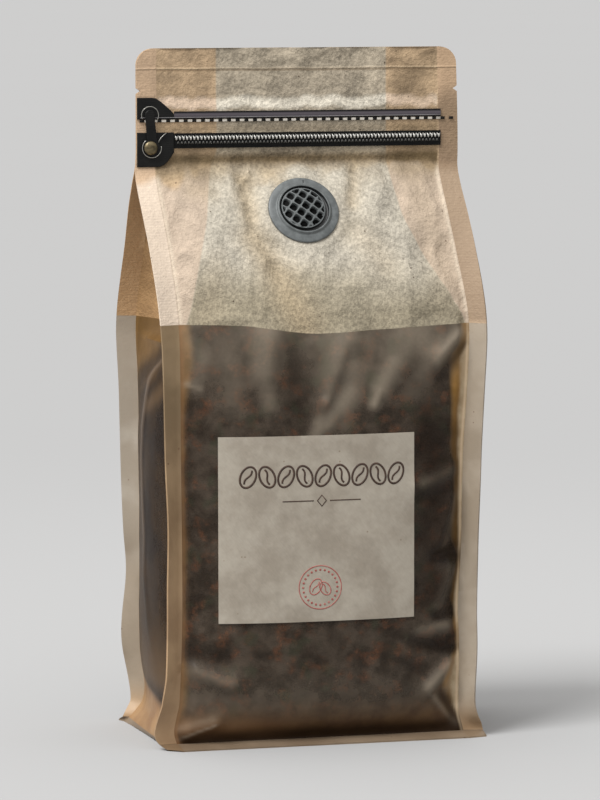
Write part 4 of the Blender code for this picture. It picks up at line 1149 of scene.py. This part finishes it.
# painted shade in the groove inside the rim
hollow = smooth_step(10.62 - ring_reach, 0.0, 0.2) * (ring_points[:, 2] < 1.6)      # the groove inside the rim
ring_points[:, :2] += GRID_SHIFT * smooth_step(10.3 - ring_reach, 0, 0.4)[:, None]
valve_ring = add_piece("valve_ring", on_valve(ring_points), ring_faces, [plastic_finish], "valve_plastic",
                       ("valve_body",))
store(valve_ring, "hollow", hollow)
sharpen(valve_ring, 50)

# %% Domed grid
PITCH, HOLE, TURN = 3.75, 3.0, math.radians(-38.5)
PHASE_U, PHASE_V = 0.114, 0.319        # where the nearest hole sits from the middle, in pitches
GRID_EDGE, GRID_REACH, DOME_HIGH, HOLE_DEEP = 9.35, 9.5, 2.75, 0.5
edges = HOLE / 2 * np.ones(4) + (0.16, 0.02, -0.14, -0.45)
around_hole = np.concatenate((-edges, (-HOLE / 6, HOLE / 6), edges[::-1]))      # lines of the lattice about a hole


def hole_lines(phase):
    """Where the lattice's lines lie: close together at the edges of each hole."""
    lines = (((np.arange(-4, 5) + phase) * PITCH)[:, None] + around_hole).ravel()
    return lines[np.abs(lines) < 9.6]


def from_hole(place, phase):
    """Distance to the middle of the nearest hole."""
    return place - (np.round(place / PITCH - phase) + phase) * PITCH


grid_u, grid_v = np.meshgrid(hole_lines(PHASE_U), hole_lines(PHASE_V))
hole_u, hole_v = np.abs(from_hole(grid_u, PHASE_U)), np.abs(from_hole(grid_v, PHASE_V))
reach = np.hypot(grid_u, grid_v)
in_hole = 1 - smooth_step((hole_u**3 + hole_v**3) ** (1 / 3), HOLE / 2 - 0.10, HOLE / 2 + 0.10)
in_hole = in_hole * (1 - smooth_step(reach, 8.6, 8.8))
dome = DOME_HIGH - 0.95 * (reach / 9.3) ** 2 - 0.12 * smooth_step(np.maximum(hole_u, hole_v), PITCH / 2 - 0.05, 1.0)
height_field = np.where(reach > GRID_EDGE, 0.4, dome * (1 - in_hole) + HOLE_DEEP * in_hole)
shrink = np.where(reach > GRID_REACH, GRID_REACH / np.maximum(reach, 1e-6), 1)
grid_front = np.stack((*spun(grid_u * shrink, grid_v * shrink, TURN), height_field), axis=-1)
grid_front[..., :2] += GRID_SHIFT
grid_points, grid_faces = edged_sheet(grid_front, grid_front * (1, 1, 0) + (0, 0, 0.15))
valve_grid = add_piece("valve_grid", on_valve(grid_points), grid_faces, [plastic_finish], "valve_plastic")
# the grid's holes are painted near-black: painted shade over the dark rubber below; its back is dark too
store(valve_grid, "hollow", np.concatenate((smooth_step(in_hole, 0.3, 0.7).ravel(), np.ones(grid_u.size))))
sharpen(valve_grid, 40)

# %% Mark and rubber disc
tick_round = round_angles(16)
tick_u, tick_v = 13.1 + 0.75 * np.cos(tick_round), 0.26 * np.sin(tick_round)      # a small raised tick on the flange
tick_loop = spun(tick_u, tick_v, math.radians(84))
tick_points, tick_faces = closed_grid(np.stack([np.column_stack((*tick_loop, 0.6 + 0.16 * (15 - tick_u) + rise))
                                                for rise in (0.0, 0.12)]))
tick = add_piece("valve_mark", on_valve(tick_points), tick_faces, [plastic_finish], "valve_plastic")
store(tick, "hollow", np.ones(len(tick_points)))
disc_points, disc_faces = turned([(8.7, 0.2), (8.7, 1.0), (4.0, 1.02), (0.02, 1.04), (0.02, 0.2)], 48)
add_piece("valve_disc_rubber", on_valve(disc_points), disc_faces, [rubber_finish], "valve_rubber", ("valve_disc",))

# %% [markdown]
# ## Zip across the flap
# What looks like a zip is printed and moulded on a tape: two dark bands, a row of stitches, metal teeth, and a
# patch with a pull at one end. Bands are a curved profile carried across the flap, so they catch a line of
# light as real tape does; the upper one also carries a painted sheen. Teeth and stitches are one small shape
# repeated, joined into one mesh.

# %% Bands
BAND_LEFT, BAND_RIGHT = -54.1, 60.9


def on_flap_at(across, out, up):
    """Points in front of the flap: across it, out from its face and up, in arrays of any matching shapes."""
    return np.stack(np.broadcast_arrays(across, -FLAP_HALF - out, up), axis=-1)


def strip(left, right, low, high, near, thick, round_by=0.16, steps=30):
    """A tape across the flap: a flat section with rounded long edges, carried from left to right."""
    across = np.linspace(0, 1, 9)
    face = np.stack((low + (high - low) * across, near + thick - round_by * thick * 4 * (across - 0.5) ** 2), axis=-1)
    up, out = np.concatenate(([(low, near)], face, [(high, near)])).T
    return closed_grid(on_flap_at(np.linspace(left, right, steps)[:, None], out, up), inside_out=True)


tape_recipe = Recipe("zip_black")
tape_weave = tape_recipe.noise(0.9, stretch=(1.4, 1, 0.5))
tape_up = tape_recipe.up()
# the upper tape carries a painted sheen: a grey band along its middle
tape_finish = tape_recipe.finished(
    base_color=(tape_up.rise(258.0, 258.9) * tape_up.rise(260.7, 259.7)).mix(
        tape_weave.between(0.3, 0.75, tone(8, 8, 8), tone(18, 18, 17)), tone(84, 79, 84)),
    roughness=tape_recipe.noise(20).rise(0.3, 0.7, 0.45, 0.6),
    normal=tape_recipe.bump(tape_weave, 0.03), specular_ior_level=0.12)
piping_finish = clouded("zip_piping", 2.0, tone(104, 101, 103), tone(128, 125, 126), roughness=0.6)
sharpen(add_piece("zip_upper_tape", *strip(BAND_LEFT, BAND_RIGHT, 257.9, 261.0, 0.30, 0.55, 0.7), [tape_finish],
                  "zip_black", ("zip_band_upper",)))
sharpen(add_piece("zip_lower_tape", *strip(BAND_LEFT, BAND_RIGHT, 245.8, 252.0, 0.30, 0.5, 0.3), [tape_finish],
                  "zip_black", ("zip_band_lower",)))
add_piece("zip_piping", *strip(-68.5, BAND_RIGHT, 258.35, 258.7, 0.62, 0.3, 0.8), [piping_finish])

# %% Stitches
def blocks(lefts, rights, low, high, near, thick):
    """Many small pillows across the flap in one mesh: a box each, its front face drawn in at the edges."""
    inset = 0.18 * (high - low)
    face_left, face_right = lefts + inset, rights - inset
    across = np.stack((lefts, rights, rights, lefts, face_left, face_right, face_right, face_left), axis=1)
    up = np.array((low, low, high, high, low + inset, low + inset, high - inset, high - inset))
    points = on_flap_at(across, np.array((near,) * 4 + (near + thick,) * 4), up)
    box = np.array(((3, 2, 1, 0), (4, 5, 6, 7), (0, 1, 5, 4), (1, 2, 6, 5), (2, 3, 7, 6), (3, 0, 4, 7)))
    return points.reshape(-1, 3), (np.arange(len(lefts))[:, None, None] * 8 + box).reshape(-1, 4)


STITCH_STEP, STITCH_LONG = 3.7, 1.85
thread_finish = clouded("stitch_dark", 0.6, tone(10, 9, 9), tone(26, 24, 22), roughness=0.7, specular_ior_level=0.2)
white_finish = clouded("stitch_tape", 1.2, tone(190, 184, 172), tone(216, 210, 200), roughness=0.7)
starts = np.arange(-68.6, 67.2, STITCH_STEP)
add_piece("zip_stitches", *blocks(starts, starts + STITCH_LONG, 256.62, 257.75, 0.42, 0.28), [thread_finish])
add_piece("zip_stitch_tape", *strip(-66.6, BAND_RIGHT, 256.65, 257.7, 0.30, 0.2, 0.3), [white_finish])

# %% Teeth
TOOTH_STEP = 1.53


def teeth(first, low, high, thick, point_up):
    """A row of V-shaped teeth in one mesh: each is a chevron of six corners, made thick."""
    middles = np.arange(first, 60.3, TOOTH_STEP)
    half, tip = TOOTH_STEP * 0.44, (high - low) * 0.40
    outline = np.array(((-half, low), (0, low + tip), (half, low), (half * 0.55, high - tip * 0.4), (0, high),
                        (-half * 0.55, high - tip * 0.4)))
    if not point_up:
        outline[:, 1] = low + high - outline[:, 1]
        outline = outline[::-1]
    small = outline.mean(0) + (outline - outline.mean(0)) * 0.72
    points = np.concatenate([on_flap_at(middles[:, None] + shape[:, 0], out, shape[:, 1])
                             for shape, out in ((outline, 0.62), (small, 0.62 + thick))], axis=1)
    start = np.arange(len(middles))[:, None, None] * 12
    faces = (start + lattice(2, 6, wrap=True)).reshape(-1, 4).tolist()
    for lid in (np.array((0, 5, 4, 3, 2, 1)), np.arange(6, 12)):
        faces += (start[:, :, 0] + lid).tolist()
    return points.reshape(-1, 3), faces


metal_recipe = Recipe("teeth_metal")
metal_wear = metal_recipe.noise(1.4)
metal_finish = metal_recipe.finished(base_color=metal_wear.mix(tone(168, 167, 162), tone(212, 210, 204)),
                                     metallic=0.6, roughness=metal_wear.rise(0.3, 0.7, 0.28, 0.45))
dark_finish = clouded("teeth_shadow_row", 1.4, tone(60, 60, 58), tone(110, 109, 106), metallic=0.4, roughness=0.45)
add_piece("zip_teeth_bright", *teeth(-53.2, 248.9, 251.3, 0.6, False), [metal_finish], "teeth_metal", ("zip_teeth",))
add_piece("zip_teeth_dark", *teeth(-52.4, 247.3, 248.8, 0.4, True), [dark_finish], "teeth_metal")

# %% Patch
def plate(outline, near, thick, edge=0.25):
    """A plate in the flap's plane: its outline, a small bevel and a flat front."""
    outline = np.array(outline, float)
    ahead, behind = np.roll(outline, -1, axis=0) - outline, outline - np.roll(outline, 1, axis=0)
    ahead /= np.linalg.norm(ahead, axis=1, keepdims=True)
    behind /= np.linalg.norm(behind, axis=1, keepdims=True)
    inward = np.stack((-(ahead + behind)[:, 1], (ahead + behind)[:, 0]), axis=-1)
    inward /= np.maximum(np.linalg.norm(inward, axis=1, keepdims=True), 1e-6)
    loops = ((outline, near), (outline, near + thick - edge), (outline + inward * edge, near + thick))
    return closed_grid(np.stack([on_flap_at(loop[:, 0], out, loop[:, 1]) for loop, out in loops]))


PATCH_LEFT, PATCH_RIGHT = -69.8, BAND_LEFT - 0.04
PATCHES = {
    "zip_patch_upper": [(PATCH_LEFT, 257.85), (PATCH_RIGHT, 257.85), (PATCH_RIGHT, 259.9), (-55.3, 261.3),
                        (-57.5, 263.3), (-60.0, 265.4), (-61.8, 266.5), (-63.6, 266.8), (PATCH_LEFT, 266.8)],
    "zip_patch_lower": [(PATCH_LEFT, 238.2), (-60.4, 238.2), (-58.6, 238.8), (-57.0, 240.2), (-55.4, 242.2),
                        (PATCH_RIGHT, 244.2), (PATCH_RIGHT, 252.4), (PATCH_LEFT, 252.4)]}
leather_recipe = Recipe("zip_patch")
leather_soft = leather_recipe.noise(7)
leather_relief = leather_recipe.bump(leather_recipe.noise(0.8, detail=3.0), 0.05,
                                     leather_recipe.bump(leather_recipe.ribs(0.9, 1.2) * leather_soft, 0.05))
leather_finish = leather_recipe.finished(
    base_color=leather_soft.between(0.3, 0.7, tone(12, 12, 12), tone(22, 22, 21)),
    roughness=0.55, normal=leather_relief, specular_ior_level=0.2)
for node_name, outline in PATCHES.items():
    patch = add_piece(node_name + "_leather", *plate(outline, 0.30, 0.5), [leather_finish], "zip_black", (node_name,))
    sharpen(patch, 30)

# %% Pull
HEAD, FOOT, RIVET, STRAP_FOOT = (-64.5, 259.6), (-63.8, 246.1), (-64.3, 246.1), (-63.6, 246.1)


def arc(centre, radius, start, end, steps):
    """Points on an arc in the flap's plane, degrees anticlockwise from +X."""
    angle = np.radians(np.linspace(start, end, steps))
    return np.stack((centre[0] + radius * np.cos(angle), centre[1] + radius * np.sin(angle)), axis=-1)


strap = np.concatenate((arc(HEAD, 2.2, -30, 210, 26), arc(STRAP_FOOT, 3.5, 128, 412, 28)))
sharpen(add_piece("zip_pull_strap", *plate(strap, 1.1, 0.6), [leather_finish], "zip_black", ("zip_pull",)), 30)

# %% Rings
WIRE_RADIUS = 0.17


def tube(path, out, sides=8):
    """A wire in front of the flap: a circle carried along a path, ends closed."""
    path = on_flap_at(path[:, 0], out, path[:, 1])
    forward = np.gradient(path, axis=0)
    forward /= np.linalg.norm(forward, axis=1, keepdims=True)
    aside = np.cross(forward, (0, -1.0, 0.001))
    aside /= np.linalg.norm(aside, axis=1, keepdims=True)
    other, angle = np.cross(aside, forward), round_angles(sides)[:, None]
    circle = aside[:, None] * np.cos(angle) + other[:, None] * np.sin(angle)
    return closed_grid(path[:, None] + WIRE_RADIUS * circle, inside_out=True)


wire_finish = clouded("ring_wire", 1.5, tone(134, 132, 126), tone(176, 174, 168), metallic=0.7, roughness=0.35)
hook = np.array(((-57.6, 252.2), (-58.6, 251.4), (-59.8, 250.3), (-60.6, 249.2), (-60.9, 248.2)))
add_piece("zip_rings", *join([tube(arc(HEAD, 3.6, -30, 205, 40), 1.5), tube(arc(FOOT, 4.0, 128, 368, 40), 1.78),
                              tube(hook, 1.2)]), [wire_finish])

# %% Rivet
brass_recipe = Recipe("rivet_brass")
tarnish = brass_recipe.noise(1.8, detail=3.0)
brass_finish = brass_recipe.finished(base_color=tarnish.between(0.3, 0.7, tone(84, 76, 58), tone(122, 110, 84)),
                                     metallic=0.85, roughness=tarnish.rise(0.3, 0.7, 0.3, 0.45))
RIVET_RADIUS, RIVET_RIM, RIVET_HIGH, RIVET_SEAT = 2.9, 0.25, 1.35, 1.72
dome_profile = [(RIVET_RADIUS * math.cos(angle), RIVET_RIM + RIVET_HIGH * math.sin(angle))
                for angle in np.radians(np.linspace(0, 86, 14))]
dome_points, dome_faces = turned([(RIVET_RADIUS, 0.0), *dome_profile, (0.02, 0.0)], 40)
dome_points = on_flap_at(RIVET[0] + dome_points[:, 0], RIVET_SEAT + dome_points[:, 2], RIVET[1] + dome_points[:, 1])
add_piece("zip_rivet_dome", dome_points, dome_faces, [brass_finish], "rivet_brass", ("zip_rivet",))
